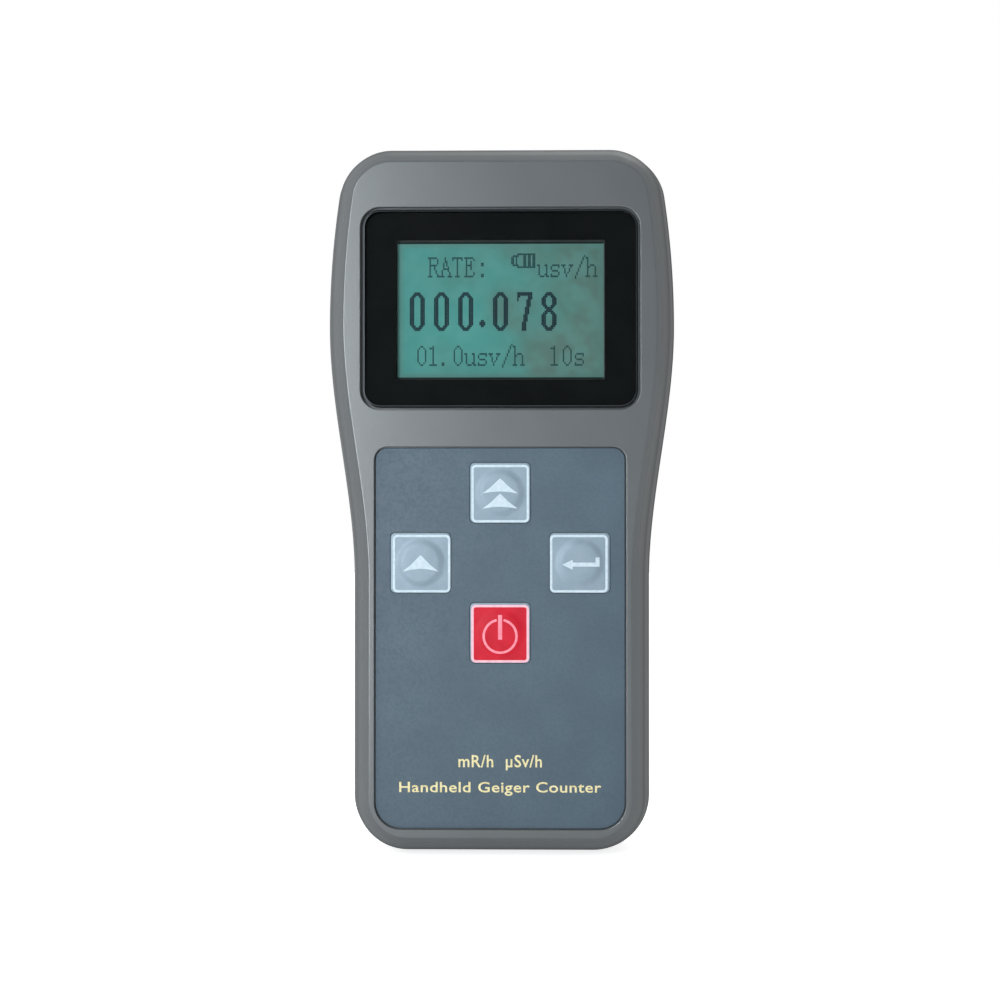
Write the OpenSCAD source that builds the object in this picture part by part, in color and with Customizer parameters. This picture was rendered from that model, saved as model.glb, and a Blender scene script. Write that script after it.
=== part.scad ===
// Handheld radiation meter: a two-shell plastic case with a graphic display, a four-key film keypad,
// a Geiger-Mueller tube on the main board, and two AA cells behind a hinged cover.
// Frame: X to the right, Z up along the body, front face towards -Y, origin at the middle of the lower end.
// Depths called "d" are measured from the front face towards the back, so y = d - body_d / 2.

/* [Body] */
// Height of the body, standing on its lower end
body_h = 150; // [149:0.5:154]
// Width across the head
head_w = 74; // [73:0.5:77]
// Width across the grip
grip_w = 63.2; // [62.8:0.2:65]
// Depth from the front face to the back face
body_d = 32; // [32:0.5:35]
// Height where the sides start to widen above the grip
grip_z = 58; // [50:1:62]
// Height of the widest point of the head
head_z = 112; // [108:1:118]
// Radius of the bulging sides of the head
head_side_r = 190; // [170:5:260]
// Corner radius at the upper end
top_r = 10; // [9:0.5:11]
// Corner radius at the lower end
bottom_r = 12; // [11:0.5:12.5]
// Depth of the seam between the front shell and the rear shell
parting_d = 13; // [12.8:0.1:14]
// How far the flat of the front face is set in from the outline
shoulder_in = 3.9; // [3.4:0.1:4]
// Rounding of the back edge
back_edge_r = 3; // [2:0.25:3.5]
// Thickness of the side and back walls
wall = 2.2; // [2:0.1:2.4]
// Thickness of the front wall
front_wall = 3.2; // [3:0.1:3.3]

/* [Display] */
// Width of the display window
window_w = 58.8; // [57:0.1:60]
// Height of the display window
window_h = 42.6; // [41:0.1:43]
// Corner radius of the display window
window_r = 4.2; // [3:0.1:5]
// Height of the middle of the display window
window_z = 115.1; // [115:0.1:116.5]
// Width of the viewing area of the liquid crystal display
view_w = 43.5; // [42:0.1:44]
// Height of the viewing area of the liquid crystal display
view_h = 29; // [28:0.1:29.5]

/* [Keypad] */
// Width of the keypad film
film_w = 52.8; // [52:0.1:53.6]
// Height of the keypad film
film_h = 80.2; // [79:0.1:80.6]
// Height of the lower edge of the keypad film
film_z = 5.8; // [5.8:0.1:6.4]
// Corner radius of the film at its upper corners
film_top_r = 2.7; // [2:0.1:4]
// Corner radius of the film at its lower corners
film_bottom_r = 5.6; // [4:0.1:6]
// Side of a square key
key_size = 12.6; // [12:0.1:13]
// Height of the middle of the key cross
key_z = 61.7; // [61:0.1:62.5]
// Distance of the left and right keys from the middle
key_dx = 16.7; // [16:0.1:17]
// Distance of the upper and lower keys from the middle
key_dz = 14.7; // [14.2:0.1:15.2]
// How far a key travels when pressed
key_travel = 0.35; // [0.25:0.05:0.4]

/* [Battery] */
// Diameter of an AA cell
cell_dia = 14.2; // [13.7:0.1:14.3]
// Length of an AA cell with its nub
cell_len = 50.5; // [49.2:0.1:50.5]
// Width of the battery cover
cover_w = 36.6; // [36:0.1:38]
// Thickness of the battery cover
cover_t = 2; // [1.8:0.1:2]

/* [Detector] */
// Diameter of the Geiger-Mueller tube
tube_dia = 10; // [9:0.5:11]
// Length of the tube's metal body
tube_len = 46; // [44:1:48]
// Height of the tube's axis
tube_z = 126; // [125:0.5:128]

/* [Hidden] */
$fn = 48;
eps = 0.5;       // overshoot of a cut past the face it goes through
gap = 0.1;       // sliding gap between a moving piece and its guide

// Colours
case_grey = "#7b7e7f";
film_blue = "#5c6c7b";
key_silver = "#a5b6be";
key_red = "#d81f36";
black = "#141618";
board_green = "#1f6b3f";
steel = "#b9bcbf";
gold = "#c9a44c";
ink = "#20242a";

// Depths of the stacked layers, from the front face
window_recess = 2.05;
window_gap = 0.45;
lens_t = 1.5;
mask_t = 0.2;
film_recess = 1.3;
film_t = 0.5;
film_front_d = film_recess - film_t;
film_gap = 0.2;
bezel_d = front_wall + 0.2;
bezel_t = 0.4;
glass_d = bezel_d + bezel_t + 0.05;
glass_t = 1;
backlight_d = glass_d + 2 * glass_t + 0.05;
lcd_board_d = bezel_d + 4.6;
lcd_board_t = 1.2;
board_d = lcd_board_d + lcd_board_t + 2.5;
board_t = 1.6;
board_back_d = board_d + board_t;

// Case details
corner_steps = 8;
side_steps = 22;
edge_steps = 5;
seam_w = 0.5;
seam_in = 0.2;
seam_groove = 0.35;
tongue_h = 1.5;
tongue_t = 0.9;
boss_r = 2.6;
rear_boss_r = 4;
screw_seat_d = body_d - 7;
case_screw_xz = [[27.9, body_h - 7.8], [23.5, 8.5]];
board_screw_xz = [[24, 20], [24, 84]];

// Display module, centred on the viewing area
lcd_z = window_z - 0.2;
lcd_board_w = 54;
lcd_board_h = 48;
bezel_w = 49.6;
bezel_h = 37;
lcd_screw_x = 24.5;
lcd_screw_dz = 21.5;
header_pins = 20;
header_pitch = 2;
header_z = lcd_z + 21.5;

// Keys: name, x, z
keys = [
    ["double_up", 0, key_z + key_dz],
    ["up", -key_dx, key_z],
    ["enter", key_dx, key_z],
    ["power", 0, key_z - key_dz]
];
key_r = 1;
key_front_d = film_front_d - 0.25;
key_t = 0.3;
key_dome_r = 5.15;
key_dome_h = 0.35;
plunger_r = 5.2;
flange_r = 6.2;
foot_r = 2.5;
switch_size = 6;
switch_h = 3.5;
stem_r = 1.7;
stem_top_d = board_d - switch_h - 0.9;
dome_d = board_d - 1.2;

// Battery bay
bay_w = 30.4;
bay_z0 = 13;
bay_z1 = 68;
bay_wall = 1.3;
cell_d = body_d - cover_t - 0.7 - cell_dia / 2;
bay_floor_d = cell_d - cell_dia / 2 - 0.1;
cell_x = 7.6;
contact_t = 0.4;
spring_len = bay_z1 - bay_z0 - 2 * contact_t - cell_len - 0.1;
cover_gap = 0.2;
cover_z0 = bay_z0 - 0.8;
cover_z1 = bay_z1 - cover_gap;
hinge_r = 1.2;
hinge_pin_r = 0.7;
hinge_z = cover_z0 + hinge_r;
hinge_d = body_d - hinge_r;
latch_w = 12;
latch_z0 = cover_z1 - 8.9;
latch_travel = 1.3;
hook_w = 6;
hook_reach = 1.2;
hook_front_d = body_d - 3.6;

// Sound holes and buzzer
buzzer_z = 98;
buzzer_r = 6;
buzzer_h = 8.5;
tube_d = board_back_d + tube_dia / 2 + 2.6;

// ---- Shared geometry

function y_at(d) = d - body_d / 2;

function smooth_step(t) = t <= 0 ? 0 : t >= 1 ? 1 : t * t * (3 - 2 * t);

// Half width of the straight-walled body at height z, before the ends are rounded
function side_x(z) = z < head_z
    ? grip_w / 2 + (head_w - grip_w) / 2 * smooth_step((z - grip_z) / (head_z - grip_z))
    : head_w / 2 - head_side_r + sqrt(head_side_r ^ 2 - (z - head_z) ^ 2);

// Right half of the outline, from the lower end to the upper end
outline = concat(
    [for (i = [0:corner_steps])
        let (a = 90 * i / corner_steps, z = bottom_r * (1 - cos(a)))
        [side_x(z) - bottom_r * (1 - sin(a)), z]],
    [for (i = [1:side_steps - 1])
        let (z = bottom_r + (body_h - top_r - bottom_r) * i / side_steps)
        [side_x(z), z]],
    [for (i = [0:corner_steps])
        let (a = 90 * i / corner_steps, z = body_h - top_r * (1 - sin(a)))
        [side_x(z) - top_r * (1 - cos(a)), z]]
);
last = len(outline) - 1;

function tangent(i) = i == 0 ? [1, 0] : i == last ? [-1, 0] : outline[i + 1] - outline[i - 1];

function inset_point(i, e) = let (t = tangent(i)) outline[i] - e * [t.y, -t.x] / norm(t);

// The whole outline moved inwards by e, as [x, z] points
function ring(e) = let (half = [for (i = [0:last]) inset_point(i, e)])
    concat(half, [for (i = [last:-1:0]) [-half[i].x, half[i].y]]);

// A solid skinned over outlines, one for each [depth, inset] of the profile
module loft(profile) {
    n = 2 * len(outline);
    back = (len(profile) - 1) * n;
    points = [for (p = profile, q = ring(p[1])) [q.x, y_at(p[0]), q.y]];
    walls = [for (k = [0:len(profile) - 2], i = [0:n - 1])
        let (a = k * n + i, b = k * n + (i + 1) % n)
        each [[a, b, b + n], [a, b + n, a + n]]];
    front_cap = [for (i = [0:last - 1]) [i, n - 1 - i, n - 2 - i, i + 1]];
    back_cap = [for (i = [0:last - 1]) [back + i, back + i + 1, back + n - 2 - i, back + n - 1 - i]];
    polyhedron(points, concat(front_cap, walls, back_cap));
}

// Extrudes a shape drawn in X and Z from depth d0 to depth d1
module slab(d0, d1) {
    translate([0, y_at(d1), 0])
        rotate([90, 0, 0])
            linear_extrude(d1 - d0)
                children();
}

// A round bar or hole along the depth
module rod(x, z, d0, d1, r) {
    translate([x, y_at(d0), z])
        rotate([-90, 0, 0])
            cylinder(h = d1 - d0, r = r);
}

// A box between two heights and two depths, centred on x
module block(x, w, d0, d1, z0, z1) {
    translate([x - w / 2, y_at(d0), z0])
        cube([w, d1 - d0, z1 - z0]);
}

function arc(cx, cz, r, a0, steps = 6) = [for (i = [0:steps])
    let (a = a0 + 90 * i / steps) [cx + r * cos(a), cz + r * sin(a)]];

// A rectangle in X and Z with one radius for the lower corners and one for the upper corners
module rounded_rect(w, z0, z1, r_low, r_high) {
    polygon(concat(
        arc(w / 2 - r_low, z0 + r_low, r_low, -90),
        arc(w / 2 - r_high, z1 - r_high, r_high, 0),
        arc(-w / 2 + r_high, z1 - r_high, r_high, 90),
        arc(-w / 2 + r_low, z0 + r_low, r_low, 180)
    ));
}

module rounded_square(x, z, size, r) {
    translate([x, z])
        rounded_rect(size, -size / 2, size / 2, r, r);
}

// Copies to the left and right
module both_sides() {
    children();
    mirror([1, 0, 0]) children();
}

// A pan-head screw seated at seat_d, with its shank towards the front
module screw(x, z, seat_d, head_r, head_h, shank_r, length) {
    slot_w = head_r * 0.25;
    difference() {
        union() {
            rod(x, z, seat_d - length, seat_d + 0.01, shank_r);
            rod(x, z, seat_d, seat_d + head_h, head_r);
        }
        block(x, head_r * 1.2, seat_d + head_h * 0.4, seat_d + head_h + eps, z - slot_w / 2, z + slot_w / 2);
        block(x, slot_w, seat_d + head_h * 0.4, seat_d + head_h + eps, z - head_r * 0.6, z + head_r * 0.6);
    }
}

// Points of a smooth curve from a to d that leaves towards b and arrives from c
function curve(a, b, c, d, steps = 14) = [for (i = [0:steps]) let (t = i / steps, u = 1 - t)
    u ^ 3 * a + 3 * u ^ 2 * t * b + 3 * u * t ^ 2 * c + t ^ 3 * d];

// A round wire along a path; "side" is any direction the path never runs along
module wire(path, r, side, sides = 8) {
    n = len(path);
    points = [for (i = [0:n - 1])
        let (
            v = path[min(i + 1, n - 1)] - path[max(i - 1, 0)],
            across = cross(v, side) / norm(cross(v, side)),
            up = cross(across, v) / norm(v)
        )
        for (j = [0:sides - 1]) path[i] + r * (cos(360 * j / sides) * across + sin(360 * j / sides) * up)];
    walls = [for (i = [0:n - 2], j = [0:sides - 1])
        let (p = i * sides + j, q = i * sides + (j + 1) % sides)
        each [[p, q + sides, q], [p, p + sides, q + sides]]];
    ends = [[for (j = [0:sides - 1]) j], [for (j = [sides - 1:-1:0]) (n - 1) * sides + j]];
    polyhedron(points, concat(walls, ends));
}

// ---- Case

// Profiles are lists of [depth, inset from the outline].
// Front shell: a crisp ridge round the face, a sloping shoulder, a leaning wall and a groove at the seam
function bend(a, b, c, steps) = [for (i = [0:steps]) let (t = i / steps, u = 1 - t)
    u ^ 2 * a + 2 * u * t * b + t ^ 2 * c];

ridge = [0.35, shoulder_in - 0.3];
shoulder = [2.6, 1.25];
wall_top = [5, 1.05];
ridge_run = (ridge - shoulder) * ridge[0] / (shoulder[0] - ridge[0]);
front_profile = concat(
    bend([0, shoulder_in + 0.5], ridge + ridge_run, ridge, 4),
    [for (q = bend(ridge, shoulder, wall_top, 6)) if (q != ridge) q],
    [
        [parting_d - seam_w, seam_in],
        [parting_d - seam_w, seam_in + seam_groove],
        [parting_d, seam_in + seam_groove]
    ]
);

front_cavity = [
    [front_wall, 3.6],
    [wall_top[0], wall + 0.9],
    [parting_d + eps, wall]
];

back_profile = concat(
    [[parting_d, 0]],
    [for (i = [edge_steps:-1:0]) let (a = 90 * i / edge_steps)
        [body_d - back_edge_r * (1 - cos(a)), back_edge_r * (1 - sin(a))]]
);

module front_case() {
    color(case_grey)
    difference() {
        union() {
            difference() {
                loft(front_profile);
                loft(front_cavity);
                slab(parting_d - tongue_h - gap, parting_d + eps) polygon(ring(wall - tongue_t - gap));
            }
            both_sides() {
                for (p = case_screw_xz)
                    rod(p.x, p.y, front_wall - eps, parting_d, boss_r);
                for (p = board_screw_xz)
                    rod(p.x, p.y, front_wall - eps, board_d, 2.6);
                for (s = [-1, 1])
                    rod(lcd_screw_x, lcd_z + s * lcd_screw_dz, front_wall - eps, lcd_board_d, 2.3);
            }
        }
        slab(-eps, window_recess) window_outline(0);
        slab(-eps, front_wall + eps)
            rounded_rect(view_w + 2.5, lcd_z - view_h / 2 - 1.2, lcd_z + view_h / 2 + 1.2, 0.8, 0.8);
        slab(-eps, film_recess) film_outline(0);
        for (k = keys)
            rod(k[1], k[2], 0, front_wall + eps, plunger_r + 0.2);
        both_sides() {
            for (p = case_screw_xz)
                rod(p.x, p.y, 8.5, parting_d + eps, 1.5);
            for (p = board_screw_xz)
                rod(p.x, p.y, 5.5, board_d + eps, 1.1);
            for (s = [-1, 1])
                rod(lcd_screw_x, lcd_z + s * lcd_screw_dz, 4, lcd_board_d + eps, 1);
        }
    }
}

module rear_case() {
    bay_outer_w = bay_w + 2 * bay_wall;
    color(case_grey)
    difference() {
        union() {
            difference() {
                loft(back_profile);
                slab(parting_d - eps, body_d - wall) polygon(ring(wall));
            }
            // Tongue that locates the rear shell inside the front shell
            slab(parting_d - tongue_h, parting_d + eps)
                difference() {
                    polygon(ring(wall - tongue_t));
                    polygon(ring(wall));
                }
            both_sides()
                for (p = case_screw_xz)
                    rod(p.x, p.y, parting_d, body_d - wall + eps, rear_boss_r);
            // Battery bay, with a ledge round its mouth for the cover
            block(0, bay_outer_w, bay_floor_d - bay_wall, body_d - wall + eps,
                bay_z0 - bay_wall, bay_z1 + bay_wall);
            block(0, cover_w + 4, body_d - 4, body_d - wall + eps, cover_z0 - 1.6, cover_z1 + 2.4);
        }
        block(0, bay_w, bay_floor_d, body_d + eps, bay_z0, bay_z1);
        slab(body_d - cover_t - gap, body_d + eps) cover_outline(cover_gap);
        block(0, cover_w + 2 * cover_gap, hinge_d - hinge_r - cover_gap, body_d - cover_t,
            cover_z0 - cover_gap, hinge_z + 2.3);
        translate([0, y_at(hinge_d), hinge_z])
            rotate([0, 90, 0])
                cylinder(h = cover_w + 4, r = hinge_pin_r + 0.05, center = true);
        block(0, hook_w + 1, hook_front_d - 0.2, body_d - wall - 0.05, bay_z1 - eps, bay_z1 + 1.6);
        // Slots for the solder tabs of the upper contacts
        both_sides()
            block(cell_x, 3.6, cell_d - 3, cell_d - 2, bay_z1 - eps, bay_z1 + bay_wall + eps);
        both_sides()
            for (p = case_screw_xz) {
                rod(p.x, p.y, screw_seat_d, body_d + eps, 2.75);
                rod(p.x, p.y, parting_d - eps, screw_seat_d + eps, 1.6);
            }
        sound_holes();
    }
}

module sound_holes() {
    rod(0, buzzer_z, body_d - wall - eps, body_d + eps, 0.8);
    for (i = [0:5])
        rod(4 * cos(60 * i), buzzer_z + 4 * sin(60 * i), body_d - wall - eps, body_d + eps, 0.8);
}

// ---- Battery cover and its latch

module cover_outline(grow) {
    rounded_rect(cover_w + 2 * grow, cover_z0 - grow, cover_z1 + grow, 0.3, 2 + grow);
}

module battery_cover() {
    side = concat(
        [[y_at(body_d - cover_t), cover_z1], [y_at(body_d), cover_z1]],
        [for (i = [0:12]) let (a = -180 * i / 12)
            [y_at(hinge_d) + hinge_r * cos(a), hinge_z + hinge_r * sin(a)]],
        [[y_at(hinge_d - hinge_r), hinge_z + 0.8], [y_at(body_d - cover_t), hinge_z + 2]]
    );
    color(case_grey)
    difference() {
        union() {
            intersection() {
                translate([-cover_w / 2, 0, 0])
                    rotate([90, 0, 90])
                        linear_extrude(cover_w)
                            polygon(side);
                slab(body_d - 5, body_d + eps) cover_outline(0);
            }
            translate([0, y_at(hinge_d), hinge_z])
                rotate([0, 90, 0])
                    cylinder(h = cover_w + 3, r = hinge_pin_r, center = true);
        }
        block(0, latch_w + 0.8, body_d - cover_t - 3, body_d + eps,
            latch_z0 - latch_travel - 0.2, cover_z1 + eps);
        // Grip grooves below the latch
        for (i = [0:3])
            block(0, 12, body_d - 0.5, body_d + eps, latch_z0 - 5.2 - 2 * i, latch_z0 - 4.2 - 2 * i);
    }
}

module battery_latch() {
    inner_d = body_d - cover_t;
    color(case_grey)
    difference() {
        union() {
            block(0, latch_w, inner_d, body_d, latch_z0, cover_z1 - gap);
            block(0, hook_w, hook_front_d, inner_d + gap, cover_z1 - 1.6, cover_z1 - gap);
            block(0, hook_w, hook_front_d, body_d - wall - 0.2, cover_z1 - 1, cover_z1 + hook_reach);
            // Leaf that bends when the latch is pressed
            block(0, hook_w, hook_front_d, hook_front_d + 0.6, latch_z0 - 3.4, cover_z1 - 1);
            block(0, hook_w, hook_front_d, inner_d - gap, latch_z0 - 4, latch_z0 - 3);
        }
        for (i = [0:2])
            block(0, latch_w - 3, body_d - 0.6, body_d + eps, latch_z0 + 2 + 2 * i, latch_z0 + 3 + 2 * i);
    }
}

// ---- Display window

module window_outline(shrink) {
    rounded_rect(window_w - 2 * shrink, window_z - window_h / 2 + shrink, window_z + window_h / 2 - shrink,
        window_r - shrink, window_r - shrink);
}

module display_window() {
    color("#c7d3d6", 0.4)
    slab(window_recess - mask_t - lens_t, window_recess - mask_t) window_outline(window_gap);
}

module window_mask() {
    color(black)
    slab(window_recess - mask_t, window_recess)
        difference() {
            window_outline(window_gap);
            rounded_rect(view_w + 0.4, lcd_z - view_h / 2 - 0.2, lcd_z + view_h / 2 + 0.2, 0.3, 0.3);
        }
}

// ---- Keypad

module film_outline(shrink) {
    rounded_rect(film_w - 2 * shrink, film_z + shrink, film_z + film_h - shrink,
        film_bottom_r - shrink, film_top_r - shrink);
}

module keypad_overlay() {
    color(film_blue)
    difference() {
        slab(film_front_d, film_recess) film_outline(film_gap);
        for (k = keys)
            slab(-eps, film_recess + eps) rounded_square(k[1], k[2], key_size + 2 * gap, key_r);
    }
}

// A square printed cap with a low dome in its middle
module key(i) {
    x = keys[i][1];
    z = keys[i][2];
    color(keys[i][0] == "power" ? key_red : key_silver) {
        slab(key_front_d, key_front_d + key_t) rounded_square(x, z, key_size, key_r);
        translate([x, y_at(key_front_d - key_dome_h), z])
            rotate([-90, 0, 0])
                cylinder(h = key_dome_h + 0.1, r1 = key_dome_r - 1.2, r2 = key_dome_r);
    }
}

module plunger(i) {
    x = keys[i][1];
    z = keys[i][2];
    color("#d9dcdd") {
        rod(x, z, key_front_d + key_t, front_wall + 0.35, plunger_r);
        rod(x, z, front_wall + 0.3, front_wall + 1.2, flange_r);
        rod(x, z, front_wall + 1.1, stem_top_d, foot_r);
    }
}

module stem(i) {
    color(ink)
    rod(keys[i][1], keys[i][2], stem_top_d, dome_d - key_travel - 0.05, stem_r);
}

module switch_bodies() {
    color("#2b2e31")
    for (k = keys)
        difference() {
            slab(board_d - switch_h, board_d) rounded_square(k[1], k[2], switch_size, 0.5);
            rod(k[1], k[2], board_d - switch_h - eps, board_d - 0.9, stem_r + 0.08);
        }
}

module switch_domes() {
    color(steel)
    for (k = keys)
        rod(k[1], k[2], dome_d, dome_d + 0.25, stem_r - 0.2);
}

// ---- Display module

tab_xz = [[-16, 1], [0, 1], [16, 1], [-16, -1], [0, -1], [16, -1]];
tab_z = bezel_h / 2 - bezel_t / 2;

module lcd_bezel() {
    color(black) {
        difference() {
            block(0, bezel_w, bezel_d, lcd_board_d, lcd_z - bezel_h / 2, lcd_z + bezel_h / 2);
            block(0, bezel_w - 2 * bezel_t, bezel_d + bezel_t, lcd_board_d + eps,
                lcd_z - bezel_h / 2 + bezel_t, lcd_z + bezel_h / 2 - bezel_t);
            block(0, view_w, bezel_d - eps, bezel_d + eps + 0.2, lcd_z - view_h / 2, lcd_z + view_h / 2);
        }
        for (t = tab_xz)
            block(t.x, 3, lcd_board_d - 0.6, lcd_board_d + lcd_board_t + 0.9,
                lcd_z + t.y * tab_z - bezel_t / 2, lcd_z + t.y * tab_z + bezel_t / 2);
    }
}

module lcd_glass() {
    color("#6fa59b") {
        block(0, 46.6, glass_d, glass_d + glass_t, lcd_z - 15.4, lcd_z + 15.4);
        block(0, 46.6, glass_d + glass_t, glass_d + 2 * glass_t, lcd_z - 17.6, lcd_z + 17.6);
    }
}

module lcd_backlight() {
    color("#d8efe4")
    block(0, 46, backlight_d, lcd_board_d, lcd_z - 15.4, lcd_z + 15.4);
}

module lcd_zebra_strips() {
    color("#5a5d60")
    for (s = [-1, 1])
        block(0, 44, backlight_d, lcd_board_d, lcd_z + s * 16.6 - 0.9, lcd_z + s * 16.6 + 0.9);
}

// Holes of the pin header, which both boards share
module header_holes(d0, d1) {
    for (i = [0:header_pins - 1])
        rod((i - (header_pins - 1) / 2) * header_pitch, header_z, d0, d1, 0.45);
}

module lcd_board() {
    color(board_green)
    difference() {
        slab(lcd_board_d, lcd_board_d + lcd_board_t)
            rounded_rect(lcd_board_w, lcd_z - lcd_board_h / 2, lcd_z + lcd_board_h / 2, 1, 1);
        both_sides()
            for (s = [-1, 1])
                rod(lcd_screw_x, lcd_z + s * lcd_screw_dz, lcd_board_d - eps, board_d, 1.1);
        for (t = tab_xz)
            block(t.x, 3.4, lcd_board_d - eps, lcd_board_d + lcd_board_t + eps,
                lcd_z + t.y * tab_z - 0.4, lcd_z + t.y * tab_z + 0.4);
        header_holes(lcd_board_d - eps, board_d);
    }
}

module lcd_header() {
    color(gold)
    for (i = [0:header_pins - 1])
        rod((i - (header_pins - 1) / 2) * header_pitch, header_z, lcd_board_d - 0.5, board_back_d + 0.6, 0.3);
    color(ink)
    block(0, header_pins * header_pitch, lcd_board_d + lcd_board_t, board_d, header_z - 1, header_z + 1);
}

module lcd_screws() {
    color(steel)
    both_sides()
        for (s = [-1, 1])
            screw(lcd_screw_x, lcd_z + s * lcd_screw_dz, lcd_board_d + lcd_board_t, 1.9, 1.2, 0.95, 4.8);
}

// ---- Main board and its parts

module main_board() {
    color(board_green)
    difference() {
        slab(board_d, board_back_d)
            union() {
                rounded_rect(55, bay_z0 + 0.5, 100, 1.5, 1.5);
                rounded_rect(61.6, 86, body_h - 12.5, 1.5, 3);
            }
        both_sides()
            for (p = board_screw_xz)
                rod(p.x, p.y, board_d - eps, board_back_d + eps, 1.2);
        header_holes(board_d - eps, board_back_d + eps);
    }
}

module processor() {
    z = 28;
    size = 10;
    leg_pitch = 0.8;
    leg_w = 0.36;
    leg_len = 1;
    color(ink)
    block(0, size, board_d - 1.5, board_d - 0.1, z - size / 2, z + size / 2);
    color(steel)
    for (i = [-5:5], s = [-1, 1]) {
        along = leg_pitch * i;
        out = s * (size / 2 + leg_len / 2 - 0.1);
        block(out, leg_len, board_d - 0.7, board_d, z + along - leg_w / 2, z + along + leg_w / 2);
        block(along, leg_w, board_d - 0.7, board_d, z + out - leg_len / 2, z + out + leg_len / 2);
    }
}

module support_chips() {
    color(ink)
    for (x = [-15, 15], z = [26, 36])
        block(x, 5, board_d - 1.6, board_d, z - 2, z + 2);
}

module crystal() {
    color(steel)
    slab(board_d - 3.5, board_d) rounded_rect(11, 17.5, 22, 2.2, 2.2);
}

module hv_transformer() {
    x = 18;
    z = 104;
    color("#3a3d40") {
        block(x, 10, board_back_d, board_back_d + 3, z - 5, z + 5);
        block(x, 10, board_back_d + 7, board_back_d + 10, z - 5, z + 5);
    }
    color("#b0622f")
    rod(x, z, board_back_d + 2.9, board_back_d + 7.1, 4);
}

module hv_capacitors() {
    color("#3f6fa8")
    for (x = [-25, -19, -13])
        slab(board_back_d, board_back_d + 7) rounded_rect_at(x, 108, 4, 9, 1.5);
}

module rounded_rect_at(x, z, w, h, r) {
    translate([x, 0])
        rounded_rect(w, z - h / 2, z + h / 2, r, r);
}

module supply_capacitor() {
    x = -24;
    z = 89;
    r = 4;
    color("#26313f")
    translate([x, y_at(board_back_d + r), z])
        cylinder(h = 12, r = r);
}

module buzzer() {
    color(ink)
    difference() {
        rod(0, buzzer_z, board_back_d, board_back_d + buzzer_h, buzzer_r);
        rod(0, buzzer_z, board_back_d + buzzer_h - 2, board_back_d + buzzer_h + eps, 1.2);
    }
}

// ---- Geiger-Mueller tube, lying across the head

module along_x(x) {
    translate([x, y_at(tube_d), tube_z])
        rotate([0, 90, 0])
            children();
}

insulator_len = 3;
anode_len = 4.5;
anode_x = -tube_len / 2 - insulator_len;
tube_wall = 0.4;

// A thin-walled steel tube, closed at its right end
module gm_tube() {
    color(steel)
    difference() {
        union() {
            along_x(-tube_len / 2) cylinder(h = tube_len, r = tube_dia / 2);
            along_x(tube_len / 2 - 0.1) cylinder(h = 2.1, r1 = tube_dia / 2 - 1, r2 = 1.5);
        }
        along_x(-tube_len / 2 - eps) cylinder(h = tube_len, r = tube_dia / 2 - tube_wall);
    }
}

module tube_insulator() {
    color("#e8e0cf") {
        along_x(anode_x) cylinder(h = insulator_len, r = tube_dia / 2 - 1.2);
        along_x(-tube_len / 2 - 0.1) cylinder(h = 1.6, r = tube_dia / 2 - tube_wall - 0.05);
    }
}

module anode_cap() {
    color(gold)
    along_x(anode_x - anode_len) cylinder(h = anode_len, r = 2);
}

module tube_clips() {
    clip_w = 6;
    clip_t = 0.4;
    inner_r = tube_dia / 2 + 0.05;
    color(gold)
    for (x = [-15, 15]) {
        along_x(x - clip_w / 2)
            linear_extrude(clip_w)
                difference() {
                    circle(r = inner_r + clip_t);
                    circle(r = inner_r);
                    polygon([[0, 0], [-8, 9], [8, 9]]);
                }
        block(x, clip_w, board_back_d, tube_d - inner_r - 0.05, tube_z - 3, tube_z + 3);
    }
}

module anode_lead() {
    x = anode_x - anode_len / 2;
    start = [x, y_at(tube_d - 2), tube_z];
    end = [x, y_at(board_back_d), tube_z - 4];
    color("#b3272d")
    wire(curve(start, start - [0, 3, 0], end + [0, 3, 0], end), 0.5, [1, 0, 0]);
}

// ---- Cells, springs, contacts and leads

cell_nub_h = 1.3;

// An AA cell standing on its flat end at height z0, or hanging nub down
module cell(x, z0, nub_up) {
    body_len = cell_len - cell_nub_h;
    translate([x, y_at(cell_d), nub_up ? z0 : z0 + cell_len])
        mirror([0, 0, nub_up ? 0 : 1]) {
            color("#2d2f33") cylinder(h = body_len * 0.72, r = cell_dia / 2);
            color(gold) translate([0, 0, body_len * 0.72]) cylinder(h = body_len * 0.28, r = cell_dia / 2);
            color(steel) cylinder(h = cell_len, r = 2.75);
        }
}

left_cell_z = bay_z0 + contact_t + spring_len;
right_cell_z = bay_z0 + contact_t + 0.1;

module battery_cell_left() cell(-cell_x, left_cell_z, true);
module battery_cell_right() cell(cell_x, right_cell_z, false);

// A conical coil spring on a contact at height z0, with its wide end on the contact
module coil_spring(x, z0, up) {
    wire_r = 0.4;
    turns = 3;
    steps = 54;
    rise = spring_len - 2 * wire_r;
    path = [for (k = [0:steps]) let (t = k / steps, a = 360 * turns * t, r = 5 - 2 * t)
        [r * cos(a), r * sin(a), wire_r + rise * t]];
    translate([x, y_at(cell_d), z0])
        rotate([up > 0 ? 0 : 180, 0, 0])
            wire(path, wire_r, [0, 0, 1]);
}

module battery_springs() {
    color(steel) {
        coil_spring(-cell_x, bay_z0 + contact_t, 1);
        coil_spring(cell_x, bay_z1 - contact_t, -1);
    }
}

module battery_contacts() {
    plate_w = 11;
    d0 = cell_d - 5.5;
    d1 = cell_d + 5.5;
    color(steel) {
        // Bridge between the lower ends of both cells
        block(0, 2 * cell_x + plate_w, d0, d1, bay_z0, bay_z0 + contact_t);
        // Upper contacts, each with a solder tab through the bay wall
        for (s = [-1, 1]) {
            block(s * cell_x, plate_w, d0, d1, bay_z1 - contact_t, bay_z1);
            block(s * cell_x, 3, cell_d - 2.7, cell_d - 2.3, bay_z1 - 0.2, bay_z1 + 3);
        }
    }
}

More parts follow.
